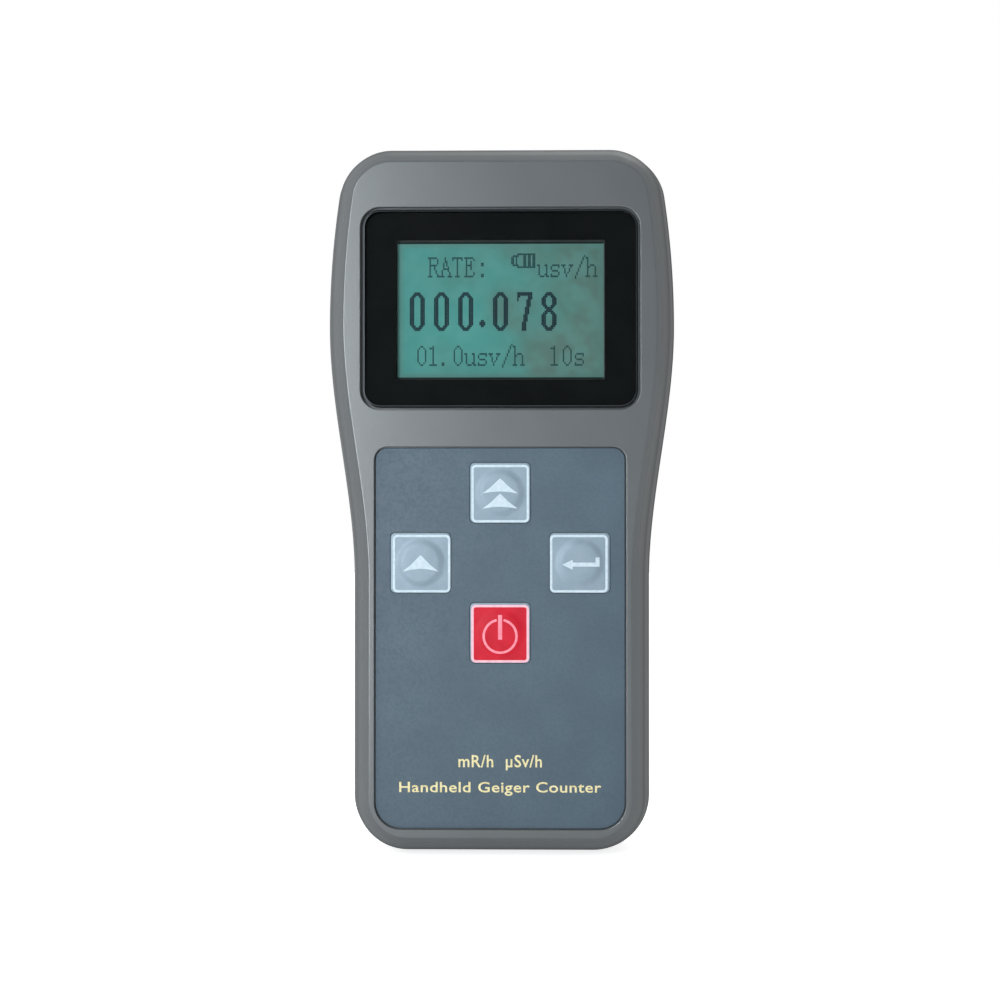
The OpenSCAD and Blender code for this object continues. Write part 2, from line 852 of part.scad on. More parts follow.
// A lead from a solder tab to the main board
module battery_lead(side) {
    start = [side * cell_x, y_at(cell_d - 3.3), bay_z1 + 2.2];
    end = [side * (cell_x + 3), y_at(board_back_d), bay_z1 + 8];
    color(side < 0 ? "#c02a2a" : black)
    wire(curve(start, start + [0, 0, 4], end + [0, 4, 0], end), 0.6, [1, 0, 0]);
}

// ---- Screws

module board_screws() {
    color(steel)
    both_sides()
        for (p = board_screw_xz)
            screw(p.x, p.y, board_back_d, 2, 1.4, 1.05, 7.2);
}

module case_screws() {
    color(steel)
    both_sides()
        for (p = case_screw_xz)
            screw(p.x, p.y, screw_seat_d, 2.6, 2, 1.45, screw_seat_d - 9);
}

front_case();
rear_case();
battery_cover();
battery_latch();
display_window();
window_mask();
keypad_overlay();
key(0);  // key_double_up
key(1);  // key_up
key(2);  // key_enter
key(3);  // key_power
plunger(0);  // plunger_double_up
plunger(1);  // plunger_up
plunger(2);  // plunger_enter
plunger(3);  // plunger_power
stem(0);  // stem_double_up
stem(1);  // stem_up
stem(2);  // stem_enter
stem(3);  // stem_power
switch_bodies();
switch_domes();
lcd_bezel();
lcd_glass();
lcd_backlight();
lcd_zebra_strips();
lcd_board();
lcd_header();
lcd_screws();
main_board();
processor();
support_chips();
crystal();
hv_transformer();
hv_capacitors();
supply_capacitor();
buzzer();
gm_tube();
tube_insulator();
anode_cap();
tube_clips();
anode_lead();
battery_cell_left();
battery_cell_right();
battery_springs();
battery_contacts();
battery_lead(-1);  // battery_lead_positive
battery_lead(1);  // battery_lead_negative
board_screws();
case_screws();
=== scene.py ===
import math

import bmesh
import bpy
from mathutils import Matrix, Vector


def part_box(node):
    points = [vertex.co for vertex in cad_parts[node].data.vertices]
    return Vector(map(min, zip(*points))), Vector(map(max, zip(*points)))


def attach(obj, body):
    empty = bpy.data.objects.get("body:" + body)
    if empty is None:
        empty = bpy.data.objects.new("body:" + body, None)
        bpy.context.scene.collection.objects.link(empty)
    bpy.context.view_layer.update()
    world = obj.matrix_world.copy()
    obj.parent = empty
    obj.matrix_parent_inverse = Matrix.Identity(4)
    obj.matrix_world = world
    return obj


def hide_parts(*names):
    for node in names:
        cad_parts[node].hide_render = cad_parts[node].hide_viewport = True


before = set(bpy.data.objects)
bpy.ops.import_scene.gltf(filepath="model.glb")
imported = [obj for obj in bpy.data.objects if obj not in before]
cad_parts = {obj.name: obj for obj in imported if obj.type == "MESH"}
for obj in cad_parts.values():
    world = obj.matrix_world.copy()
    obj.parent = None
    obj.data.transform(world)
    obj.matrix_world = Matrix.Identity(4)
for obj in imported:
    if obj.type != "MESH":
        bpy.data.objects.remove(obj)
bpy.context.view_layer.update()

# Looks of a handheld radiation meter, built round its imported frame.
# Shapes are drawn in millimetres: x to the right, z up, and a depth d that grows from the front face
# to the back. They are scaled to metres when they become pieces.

MM = 0.001


# ---- Measures taken from the frame

def box_mm(node):
    low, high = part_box(node)
    return low / MM, high / MM


CASE_LOW, CASE_FRONT_HIGH = box_mm("front_case")
CASE_HIGH = box_mm("rear_case")[1]
FILM_LOW, FILM_HIGH = box_mm("keypad_overlay")
LENS_LOW, LENS_HIGH = box_mm("display_window")
MASK_HIGH = box_mm("window_mask")[1]
GLASS_LOW, GLASS_HIGH = box_mm("lcd_glass")
COVER_LOW, COVER_HIGH = box_mm("battery_cover")
SCREWS_LOW, SCREWS_HIGH = box_mm("case_screws")
BUZZER_LOW, BUZZER_HIGH = box_mm("buzzer")
CELL_LOW = box_mm("battery_cell_left")[0]
CONTACTS_LOW = box_mm("battery_contacts")[0]


def depth_of(y):
    return y - CASE_LOW.y


BODY_H = CASE_HIGH.z
BODY_D = depth_of(CASE_HIGH.y)
HEAD_W = 2 * CASE_HIGH.x
SEAM_D = depth_of(CASE_FRONT_HIGH.y)


# ---- Measures that the frame's boxes don't show, the same as in the CAD part

GRIP_W = 63.2
GRIP_Z = 58.0
HEAD_Z = 112.0
HEAD_SIDE_R = 190.0
TOP_R = 10.0
BOTTOM_R = 12.0
WALL = 2.2
FRONT_WALL = 3.2
SHOULDER_IN = 3.9
BACK_EDGE_R = 3.0
TONGUE_H = 1.5
TONGUE_T = 0.9
WINDOW_R = 4.2
WINDOW_GAP = 0.45
FILM_GAP = 0.2
FILM_TOP_R = 2.7
FILM_BOTTOM_R = 5.6
VIEW_W = 43.5
VIEW_H = 29.0
KEY_SIZE = 12.6
KEY_R = 1.0
KEY_GAP = 0.1
KEY_T = 0.3
DOME_R = 5.15
PLUNGER_HOLE_R = 5.4
SCREW_RECESS_R = 2.75
SCREW_RECESS_D = 7.0
SOUND_HOLE_R = 0.8
SOUND_RING_R = 4.0
COVER_GAP = 0.2
COVER_TOP_R = 2.0
COVER_T = 2.0
BAY_W = 30.4
BAY_WALL = 1.3
HINGE_R = 1.2
HINGE_PIN_OUT = 1.5
HINGE_SLOT_RISE = 2.3
CLEARANCE = 0.1
CASE_POST_R = 2.6
REAR_POST_R = 4.0
CASE_SCREW_HOLE_R = 1.6
LOW_SCREW_X = 23.5
HIGH_SCREW_X = 27.9
BOARD_SCREW_X = 24.0
BOARD_SCREW_Z = (20.0, 84.0)
DISPLAY_POST_R = 2.3
DISPLAY_SCREW_X = 24.5
DISPLAY_SCREW_RISE = 21.5
CONTACT_TAB_X = 7.6
CONTACT_TAB_IN = 7.1
TAB_SLOT_HALF_W = 1.8
TAB_SLOT_FRONT = 3.0
TAB_SLOT_BACK = 2.0
CATCH_HALF_W = 3.5
CATCH_DEPTH = 3.8
CATCH_H = 1.6
SCREW_POST_SETBACK = 2.6
LEDGE_OUT = 2.0
LEDGE_DEPTH = 4.0
LEDGE_BELOW = 1.6
LEDGE_ABOVE = 2.4

WINDOW_Z = (LENS_LOW.z + LENS_HIGH.z) / 2
WINDOW_W = LENS_HIGH.x - LENS_LOW.x + 2 * WINDOW_GAP
WINDOW_H = LENS_HIGH.z - LENS_LOW.z + 2 * WINDOW_GAP
WINDOW_RECESS = depth_of(MASK_HIGH.y)
LCD_Z = (GLASS_LOW.z + GLASS_HIGH.z) / 2
GLASS_D = depth_of(GLASS_LOW.y)
FILM_D = depth_of(FILM_LOW.y)
FILM_RECESS = depth_of(FILM_HIGH.y)
BAY_Z0 = CONTACTS_LOW.z
BAY_Z1 = COVER_HIGH.z + COVER_GAP
BAY_D = depth_of(CELL_LOW.y) - CLEARANCE
COVER_W = 2 * (COVER_HIGH.x - HINGE_PIN_OUT)
KEYS = ("double_up", "up", "enter", "power")
CUT_PAST = 0.5


def key_centre(name):
    low, high = box_mm("key_" + name)
    return (low.x + high.x) / 2, (low.z + high.z) / 2


# ---- Rings of (x, z) points: the right half upwards, then its mirror image downwards

def mirrored(half, centre=0.0):
    return half + [(2 * centre - x, z) for x, z in reversed(half)]


def smooth_step(t):
    t = min(max(t, 0.0), 1.0)
    return t * t * (3 - 2 * t)


def half_width(z):
    """Half width of the case at height z, before its ends are rounded."""
    if z < HEAD_Z:
        return GRIP_W / 2 + (HEAD_W - GRIP_W) / 2 * smooth_step((z - GRIP_Z) / (HEAD_Z - GRIP_Z))
    return HEAD_W / 2 - HEAD_SIDE_R + math.sqrt(HEAD_SIDE_R ** 2 - (z - HEAD_Z) ** 2)


def case_half(corner_steps=22, side_steps=84):
    """Right half of the case outline, from the lower end to the upper end."""
    turns = [math.pi / 2 * i / corner_steps for i in range(corner_steps + 1)]
    low = [(BOTTOM_R * (1 - math.sin(a)), BOTTOM_R * (1 - math.cos(a))) for a in turns]
    high = [(TOP_R * (1 - math.cos(a)), BODY_H - TOP_R * (1 - math.sin(a))) for a in turns]
    span = BODY_H - TOP_R - BOTTOM_R
    side = [(0.0, BOTTOM_R + span * i / side_steps) for i in range(1, side_steps)]
    return [(half_width(z) - cut, z) for cut, z in low + side + high]


CASE_HALF = case_half()


def case_ring(inset):
    """The case outline moved inwards by inset, square to itself at each point."""
    last = len(CASE_HALF) - 1
    moved = []
    for i, (x, z) in enumerate(CASE_HALF):
        along = (1.0, 0.0)
        if i == last:
            along = (-1.0, 0.0)
        elif i > 0:
            before, after = CASE_HALF[i - 1], CASE_HALF[i + 1]
            along = (after[0] - before[0], after[1] - before[1])
        length = math.hypot(*along)
        moved.append((x - inset * along[1] / length, z + inset * along[0] / length))
    return mirrored(moved)


def rect_ring(width, z0, z1, r_low, r_high, inset=0.0, centre=0.0, steps=10):
    """A rounded rectangle between two heights, moved inwards by inset."""
    half = []
    for z_end, radius, first in ((z0, r_low, -90), (z1, r_high, 0)):
        r = max(radius - inset, 0.02)
        away = 1 if first < 0 else -1
        for i in range(steps + 1):
            a = math.radians(first + 90 * i / steps)
            half.append((centre + width / 2 - inset - r + r * math.cos(a),
                         z_end + away * (inset + r) + r * math.sin(a)))
    return mirrored(half, centre)


def square_ring(x, z, size, r, inset=0.0):
    return rect_ring(size, z - size / 2, z + size / 2, r, r, inset, x)


def refined(ring, longest=2.0, pieces=16):
    """The same ring with its longer edges cut into pieces."""
    made = []
    for (ax, az), (bx, bz) in zip(ring, ring[1:] + ring[:1]):
        parts = pieces if math.hypot(bx - ax, bz - az) > longest else 1
        made += [(ax + (bx - ax) * i / parts, az + (bz - az) * i / parts) for i in range(parts)]
    return made


def disc_ring(x, z, r, steps=40):
    half = [math.pi * (i + 0.5) / steps for i in range(steps)]
    return mirrored([(x + r * math.sin(a), z - r * math.cos(a)) for a in half], x)


# ---- Meshes, in millimetres

def loft(bm, levels):
    """Adds a closed surface through levels of (depth, ring)."""
    rows = [[bm.verts.new((x, CASE_LOW.y + d, z)) for x, z in ring] for d, ring in levels]
    for a, b in zip(rows, rows[1:]):
        for i in range(len(a)):
            bm.faces.new((a[i], a[i - 1], b[i - 1], b[i]))
    bm.faces.new(rows[0])
    bm.faces.new(rows[-1][::-1])


def block(bm, x0, x1, d0, d1, z0, z1):
    """Adds a box between two widths, two depths and two heights."""
    ring = [(x1, z0), (x1, z1), (x0, z1), (x0, z0)]
    loft(bm, [(d0, ring), (d1, ring)])


def mesh_object(name, bm):
    """Turns the drawing into an object, still in millimetres, with its faces pointing outwards."""
    bmesh.ops.recalc_face_normals(bm, faces=bm.faces)
    mesh = bpy.data.meshes.new(name)
    bm.to_mesh(mesh)
    bm.free()
    made = bpy.data.objects.new(name, mesh)
    bpy.context.scene.collection.objects.link(made)
    return made


def shape(name, *parts):
    """An object from closed parts, each a list of (depth, ring) levels or the six sides of a block."""
    bm = bmesh.new()
    for part in parts:
        if isinstance(part[0], tuple):
            loft(bm, part)
        else:
            block(bm, *part)
    return mesh_object(name, bm)


def bake(made):
    """Applies the modifiers."""
    graph = bpy.context.evaluated_depsgraph_get()
    mesh = bpy.data.meshes.new_from_object(made.evaluated_get(graph))
    made.modifiers.clear()
    made.data = mesh


def combine(body, operation, tool):
    """Joins the tool to the body (UNION) or cuts it away (DIFFERENCE)."""
    step = body.modifiers.new(operation, "BOOLEAN")
    step.operation = operation
    step.solver = "EXACT"
    step.object = tool
    bake(body)
    bpy.data.objects.remove(tool)


def prism(d0, d1, ring):
    return [(d0, ring), (d1, ring)]


def flared(ring_of, d_floor, d_face, rim, steps=5):
    """A cutter from d_floor out past the face at d_face, whose rim leaves a rounded edge of radius rim."""
    out = -1 if d_floor > d_face else 1
    turns = [math.pi / 2 * i / steps for i in range(steps + 1)]
    levels = [(d_floor, ring_of(0.0))]
    levels += [(d_face - out * rim * (1 - math.sin(a)), ring_of(-rim * (1 - math.cos(a)))) for a in turns]
    return levels + [(d_face + out * CUT_PAST, ring_of(-rim))]


def rounded_slab(ring_of, d_back, d_front, edge, steps=4):
    """A flat piece with a rounded front edge."""
    turns = [math.pi / 2 * i / steps for i in range(steps + 1)]
    levels = [(d_back, ring_of(0.0))]
    return levels + [(d_front + edge * (1 - math.sin(a)), ring_of(edge * (1 - math.cos(a)))) for a in turns]


# ---- Finishes

def paint(red, green, blue):
    """A colour given as three values from 0 to 255, for the shader nodes."""
    def linear(value):
        share = value / 255
        return share / 12.92 if share <= 0.04045 else ((share + 0.055) / 1.055) ** 2.4
    return (linear(red), linear(green), linear(blue), 1.0)


class Finish:
    """A procedural material. Texture sizes are in millimetres of the object."""

    def __init__(self, name, **inputs):
        self.name = name
        self.material = bpy.data.materials.new("look_" + name)
        self.material.use_nodes = True
        self.tree = self.material.node_tree
        self.shader = self.tree.nodes["Principled BSDF"]
        self.place = self.node("ShaderNodeTexCoord").outputs["Object"]
        for key, value in inputs.items():
            self.put(key.replace("_", " "), value)

    def node(self, kind, **settings):
        made = self.tree.nodes.new(kind)
        for key, value in settings.items():
            setattr(made, key, value)
        return made

    def feed(self, target, value):
        """Links a socket to an input, or sets the input to a plain value."""
        if isinstance(value, bpy.types.NodeSocket):
            self.tree.links.new(value, target)
        else:
            target.default_value = value

    def put(self, key, value):
        self.feed(self.shader.inputs[key], value)

    def maths(self, operation, a, b=0.0):
        made = self.node("ShaderNodeMath", operation=operation)
        self.feed(made.inputs[0], a)
        self.feed(made.inputs[1], b)
        return made.outputs[0]

    def span(self, value, low, high, to_low=0.0, to_high=1.0, kind="SMOOTHSTEP"):
        made = self.node("ShaderNodeMapRange", interpolation_type=kind)
        for target, given in zip(made.inputs, (value, low, high, to_low, to_high)):
            self.feed(target, given)
        return made.outputs[0]

    def stretched(self, x, y, z):
        made = self.node("ShaderNodeMapping")
        self.feed(made.inputs["Vector"], self.place)
        made.inputs["Scale"].default_value = (x, y, z)
        return made.outputs[0]

    def axis(self, name):
        """How far along one axis a point is, in millimetres."""
        made = self.node("ShaderNodeSeparateXYZ")
        self.feed(made.inputs[0], self.place)
        return self.maths("DIVIDE", made.outputs[name], MM)

    def facing(self, name):
        """How squarely the surface faces along one axis, from -1 to 1."""
        made = self.node("ShaderNodeSeparateXYZ")
        self.feed(made.inputs[0], self.node("ShaderNodeNewGeometry").outputs["Normal"])
        return made.outputs[name]

    def noise(self, size, detail=2.0, place=None):
        made = self.node("ShaderNodeTexNoise")
        made.inputs["Scale"].default_value = 1 / (size * MM)
        made.inputs["Detail"].default_value = detail
        self.feed(made.inputs["Vector"], place or self.place)
        return made.outputs[0]

    def cells(self, size, feature="F1"):
        made = self.node("ShaderNodeTexVoronoi", feature=feature)
        made.inputs["Scale"].default_value = 1 / (size * MM)
        self.feed(made.inputs["Vector"], self.place)
        return made.outputs["Distance"]

    def mix(self, share, low, high):
        made = self.node("ShaderNodeMix", data_type="RGBA")
        for target, given in zip((made.inputs[0], made.inputs[6], made.inputs[7]), (share, low, high)):
            self.feed(target, given)
        return made.outputs[2]

    def bump(self, height, depth, strength=1.0):
        made = self.node("ShaderNodeBump")
        made.inputs["Strength"].default_value = strength
        made.inputs["Distance"].default_value = depth * MM
        self.feed(made.inputs["Height"], height)
        self.put("Normal", made.outputs[0])


def mottled(name, dark, light, patch, roughness, drift_by=0.05, **inputs):
    """A finish whose colour drifts between two tones over patches of the given size."""
    made = Finish(name, **inputs)
    drift = made.span(made.noise(patch, 3.0), 0.3, 0.7)
    made.put("Base Color", made.mix(drift, dark, light))
    low, high = roughness - drift_by, roughness + drift_by
    made.put("Roughness", made.span(made.noise(patch / 3), 0.3, 0.7, low, high))
    return made


def case_plastic():
    """Grey moulded plastic with a fine grain: satin on its face, duller on its sides and back."""
    made = Finish("case_plastic")
    cloud = made.span(made.noise(9.0, 2.0), 0.3, 0.7)
    made.put("Base Color", made.mix(cloud, paint(79, 83, 85), paint(81, 85, 87)))
    away = made.span(made.facing("Y"), -0.65, -0.3)
    made.put("Roughness", made.span(away, 0.0, 1.0, 0.27, 0.6, "LINEAR"))
    made.put("Specular IOR Level", made.span(away, 0.0, 1.0, 0.8, 0.3, "LINEAR"))
    made.bump(made.span(made.noise(0.45, 1.0), 0.35, 0.75), 0.02, 0.12)
    return made


def film_print():
    """Blue-grey polycarbonate film with a satin, faintly flecked face."""
    made = Finish("film_blue", Specular_IOR_Level=0.4)
    fleck = made.span(made.noise(0.5, 2.0), 0.35, 0.7)
    cloud = made.span(made.noise(12.0, 2.0), 0.3, 0.7)
    tone = made.mix(cloud, paint(62, 79, 91), paint(67, 85, 97))
    made.put("Base Color", made.mix(made.maths("MULTIPLY", fleck, 0.35), tone, paint(58, 75, 90)))
    made.put("Roughness", made.span(fleck, 0.0, 1.0, 0.46, 0.58))
    made.bump(made.noise(0.25, 1.0), 0.012, 0.5)
    return made


def metallic_print(name, dark, light, flake, metal, gloss):
    """Metallic ink under a clear film: fine flakes over a slow change of tint."""
    made = Finish(name, Metallic=metal, Specular_IOR_Level=gloss)
    flakes = made.span(made.cells(0.22), 0.1, 0.5)
    cloud = made.span(made.noise(3.5, 2.0), 0.3, 0.7)
    tone = made.mix(cloud, dark, light)
    made.put("Base Color", made.mix(made.maths("MULTIPLY", flakes, 0.1), tone, flake))
    made.put("Roughness", made.span(flakes, 0.0, 1.0, 0.4, 0.5))
    made.bump(made.noise(0.3, 1.0), 0.008, 0.4)
    return made


def ink(name, colour, shade, **inputs):
    """Screen-printed ink, very slightly uneven."""
    made = mottled(name, shade, colour, 0.8, 0.5, Specular_IOR_Level=0.15, **inputs)
    made.bump(made.noise(0.15, 1.0), 0.004, 0.5)
    return made


def brushed(name, dark, light, roughness, across=(1.0, 1.0, 12.0)):
    """Metal with fine drawn lines."""
    made = Finish(name, Metallic=1.0)
    lines = made.noise(2.0, 4.0, made.stretched(*across))
    made.put("Base Color", made.mix(made.span(lines, 0.3, 0.7), dark, light))
    made.put("Roughness", made.span(lines, 0.3, 0.7, roughness - 0.07, roughness + 0.07))
    made.bump(lines, 0.01, 0.3)
    return made


def clear_pane(name):
    """Clear plastic that light passes straight through. What lies behind it carries its sheen, see SHEEN."""
    made = Finish(name)
    clear = made.node("ShaderNodeBsdfTransparent")
    haze = made.span(made.noise(14.0, 3.0), 0.35, 0.7)
    made.feed(clear.inputs["Color"], made.mix(haze, paint(244, 248, 247), paint(248, 250, 249)))
    out = made.tree.nodes["Material Output"]
    made.feed(out.inputs["Surface"], clear.outputs[0])
    return made


SHEEN = {"Coat_Weight": 1.0, "Coat_Roughness": 0.05}


def lens_edge():
    """Polished chamfer of the window, with a painted highlight: its faces turned to the left, towards the
    lamp, are painted lighter than the rest.
    """
    made = Finish("lens_edge", Metallic=0.7)
    # painted highlight: faces turned to the left get the lighter colour
    painted_highlight = made.span(made.facing("X"), -0.6, -0.2, 1.0, 0.0)
    made.put("Base Color", made.mix(painted_highlight, paint(58, 61, 64), paint(128, 133, 138)))
    made.put("Roughness", made.span(made.noise(1.5), 0.3, 0.7, 0.4, 0.5))
    return made


def display_glass():
    """Grey-green display with painted light and shade: painted light makes it brighter and greener to the
    left, a painted shade greys its rim, and a painted shadow of the bezel makes it black along its two long
    edges.
    """
    made = Finish("lcd_glass", Roughness=0.4, Specular_IOR_Level=0.08, **SHEEN)
    x, z = made.axis("X"), made.axis("Z")
    cloud = made.span(made.noise(9.0, 1.0), 0.25, 0.75, -8.0, 8.0)
    # painted light: brighter and greener on the left, falling off towards the right
    painted_falloff = made.span(made.maths("ADD", x, cloud), -16.0, 20.0)
    tone = made.mix(painted_falloff, paint(66, 126, 122), paint(78, 101, 95))
    patch = made.span(made.noise(3.5, 1.0), 0.3, 0.7, 0.0, 0.3)
    tone = made.mix(patch, tone, paint(86, 138, 136))
    beside = made.maths("SUBTRACT", made.maths("ABSOLUTE", x), VIEW_W / 2)
    above = made.maths("SUBTRACT", made.maths("ABSOLUTE", made.maths("SUBTRACT", z, LCD_Z)), VIEW_H / 2)
    # painted shade: the rim of the display is greyed as if shaded by the bezel
    rim = made.span(made.maths("MAXIMUM", beside, above), -1.7, -0.5)
    tone = made.mix(made.maths("MULTIPLY", rim, 0.6), tone, paint(80, 112, 108))
    # painted shadow of the bezel: near-black strips along the top and bottom edges
    tone = made.mix(made.span(above, -0.44, -0.36), tone, paint(16, 26, 27))
    made.put("Base Color", tone)
    made.put("Emission Color", tone)
    made.put("Emission Strength", 0.3)
    return made


def circuit_board(name):
    """Green solder mask over copper tracks, with the tracks raised in a bump."""
    made = Finish(name, Coat_Weight=0.4, Coat_Roughness=0.2)
    tracks = made.span(made.cells(2.4, "DISTANCE_TO_EDGE"), 0.06, 0.1)
    made.put("Base Color", made.mix(tracks, paint(60, 150, 90), paint(22, 92, 52)))
    made.put("Roughness", made.span(made.noise(1.5), 0.3, 0.7, 0.3, 0.45))
    made.bump(tracks, 0.03, 0.5)
    return made


def cell_jacket():
    """Shrink-wrap printed blue with a pale band near the nub, and bare metal at both tips."""
    made = Finish("cell_jacket", Metallic=0.5, Coat_Weight=0.5, Coat_Roughness=0.12)
    height = made.maths("SUBTRACT", made.axis("Z"), (BAY_Z0 + BAY_Z1) / 2)
    tip = made.span(made.maths("ABSOLUTE", height), 25.2, 25.6)
    side = made.span(made.axis("X"), -0.05, 0.05, 1.0, -1.0)
    band = made.span(made.maths("MULTIPLY", height, side), 13.5, 14.0)
    wrap = made.mix(band, paint(38, 66, 104), paint(206, 210, 212))
    made.put("Base Color", made.mix(tip, wrap, paint(196, 198, 200)))
    made.put("Roughness", made.span(made.noise(3.0, 3.0), 0.3, 0.7, 0.22, 0.36))
    made.bump(made.noise(4.0, 2.0), 0.05, 0.3)
    return made


def make_finishes():
    """One finish for each of the record's material slots, and a few for the printing."""
    made = [
        case_plastic(),
        film_print(),
        clear_pane("window_clear"),
        lens_edge(),
        display_glass(),
        mottled("mask_black", paint(7, 8, 10), paint(12, 14, 16), 6.0, 0.55,
                Specular_IOR_Level=0.02, **SHEEN),
        metallic_print("key_silver", paint(108, 127, 140), paint(116, 134, 147),
                       paint(196, 208, 216), 0.15, 0.45),
        metallic_print("key_red", paint(178, 20, 38), paint(192, 28, 46),
                       paint(210, 66, 82), 0.0, 0.12),
        mottled("actuator_white", paint(214, 216, 214), paint(228, 229, 226), 2.0, 0.45),
        mottled("switch_black", paint(24, 25, 27), paint(34, 35, 38), 1.0, 0.5),
        brushed("steel", paint(176, 178, 180), paint(214, 216, 218), 0.3),
        mottled("bezel_black", paint(16, 17, 19), paint(26, 28, 30), 1.5, 0.42),
        mottled("backlight", paint(206, 232, 222), paint(222, 242, 234), 5.0, 0.4),
        mottled("zebra_rubber", paint(70, 70, 72), paint(112, 110, 106), 0.3, 0.8),
        circuit_board("board_green"),
        brushed("brass_plate", paint(196, 154, 72), paint(226, 190, 110), 0.28),
        mottled("chip_black", paint(22, 22, 24), paint(34, 34, 37), 0.6, 0.62),
        mottled("ferrite", paint(44, 44, 48), paint(66, 66, 70), 0.5, 0.7, Metallic=0.3),
        mottled("capacitor_film", paint(40, 88, 150), paint(58, 110, 172), 2.5, 0.35),
        mottled("capacitor_can", paint(26, 36, 56), paint(36, 48, 70), 2.0, 0.3, Metallic=0.4),
        mottled("tube_ceramic", paint(222, 214, 196), paint(236, 230, 214), 1.2, 0.55),
        mottled("lead_red", paint(160, 26, 30), paint(186, 38, 40), 1.0, 0.4),
        mottled("lead_black", paint(20, 20, 22), paint(32, 32, 35), 1.0, 0.4),
        cell_jacket(),
        ink("ink_white", paint(192, 206, 214), paint(178, 194, 204)),
        ink("ink_pink", paint(236, 142, 154), paint(226, 124, 140)),
        ink("ink_rim_pink", paint(232, 184, 194), paint(222, 168, 182)),
        ink("ink_gold", paint(224, 214, 170), paint(208, 194, 142)),
        ink("lcd_dot", paint(6, 30, 44), paint(2, 22, 36), **SHEEN),
        ink("lcd_dot_small", paint(32, 66, 68), paint(26, 58, 62), **SHEEN),
    ]
    return {each.name: each.material for each in made}


FINISHES = make_finishes()


# ---- Making pieces

def piece(made, body, slot, *finishes, replaces=(), sharp=38):
    """Scales a drawing to metres, shades it and fixes it to a body of the frame."""
    mesh = made.data
    for vertex in mesh.vertices:
        vertex.co *= MM
    for name in finishes or (slot,):
        mesh.materials.append(FINISHES[name])
    mesh.shade_smooth()
    mesh.set_sharp_from_angle(angle=math.radians(sharp))
    even = made.modifiers.new("even_shading", "WEIGHTED_NORMAL")
    even.keep_sharp = True
    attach(made, body)
    if replaces:
        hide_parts(*replaces)
    return made


# ---- Case shells

def bend(a, b, c, steps):
    """Points along a smooth curve from a to c that leaves towards b."""
    for i in range(steps + 1):
        t = i / steps
        yield tuple((1 - t) ** 2 * p + 2 * (1 - t) * t * q + t * t * r for p, q, r in zip(a, b, c))


def front_shell_profile():
    """(depth, inset) from the front face over the ridge and shoulder to the seam, and back inside."""
    ridge = (0.25, SHOULDER_IN - 0.2)
    shoulder = (2.6, 1.25)
    wall_top = (5.0, 1.05)
    share = ridge[0] / (shoulder[0] - ridge[0])
    ridge_top = tuple(r + (r - s) * share for r, s in zip(ridge, shoulder))
    seam_edge = SEAM_D - 0.5
    outside = list(bend((0.0, SHOULDER_IN + 0.3), ridge_top, ridge, 6))
    outside += list(bend(ridge, shoulder, wall_top, 14))[1:]
    outside += [(seam_edge - 0.15, 0.21), (seam_edge - 0.04, 0.24), (seam_edge, 0.34)]
    outside += [(seam_edge, 0.55), (SEAM_D, 0.55)]
    lip, lip_d = WALL - TONGUE_T - CLEARANCE, SEAM_D - TONGUE_H - CLEARANCE
    inside = [(SEAM_D, lip), (lip_d, lip), (lip_d, WALL)]
    return outside + inside + [(wall_top[0], WALL + 0.9), (FRONT_WALL, 3.6)]


def rear_shell_profile():
    """(depth, inset) from the back face over its rounded edge to the seam and tongue, and back inside."""
    turns = [math.pi / 2 * i / 10 for i in range(11)]
    outside = [(BODY_D - BACK_EDGE_R * (1 - math.cos(a)), BACK_EDGE_R * (1 - math.sin(a))) for a in turns]
    outside += [(SEAM_D + 0.3, 0.0), (SEAM_D + 0.06, 0.06), (SEAM_D, 0.25)]
    tongue_in, tongue_d = WALL - TONGUE_T, SEAM_D - TONGUE_H
    tongue = [(SEAM_D, tongue_in), (tongue_d, tongue_in), (tongue_d, WALL)]
    return outside + tongue + [(BODY_D - WALL - 1.0, WALL), (BODY_D - WALL, WALL + 0.6)]


def window_ring(inset):
    low, high = WINDOW_Z - WINDOW_H / 2, WINDOW_Z + WINDOW_H / 2
    return rect_ring(WINDOW_W, low, high, WINDOW_R, WINDOW_R, inset)


def film_ring(inset):
    low, high = FILM_LOW.z - FILM_GAP, FILM_HIGH.z + FILM_GAP
    width = 2 * (FILM_HIGH.x + FILM_GAP)
    return rect_ring(width, low, high, FILM_BOTTOM_R, FILM_TOP_R, inset)


def sides(x):
    return (-x, x)


LOW_SCREW_Z = SCREWS_LOW.z + SCREW_POST_SETBACK
HIGH_SCREW_Z = SCREWS_HIGH.z - SCREW_POST_SETBACK
CASE_SCREWS = [(x, LOW_SCREW_Z) for x in sides(LOW_SCREW_X)]
CASE_SCREWS += [(x, HIGH_SCREW_Z) for x in sides(HIGH_SCREW_X)]
BOARD_SCREWS = [(x, z) for z in BOARD_SCREW_Z for x in sides(BOARD_SCREW_X)]
DISPLAY_SCREWS = [(x, LCD_Z + s * DISPLAY_SCREW_RISE) for s in (-1, 1) for x in sides(DISPLAY_SCREW_X)]


OPENING_MARGIN_X = 1.25
OPENING_MARGIN_Z = 1.2
OPENING_R = 0.8
HOLE_START = 0.1
WINDOW_RIM_R = 0.16
FILM_RIM_R = 0.2


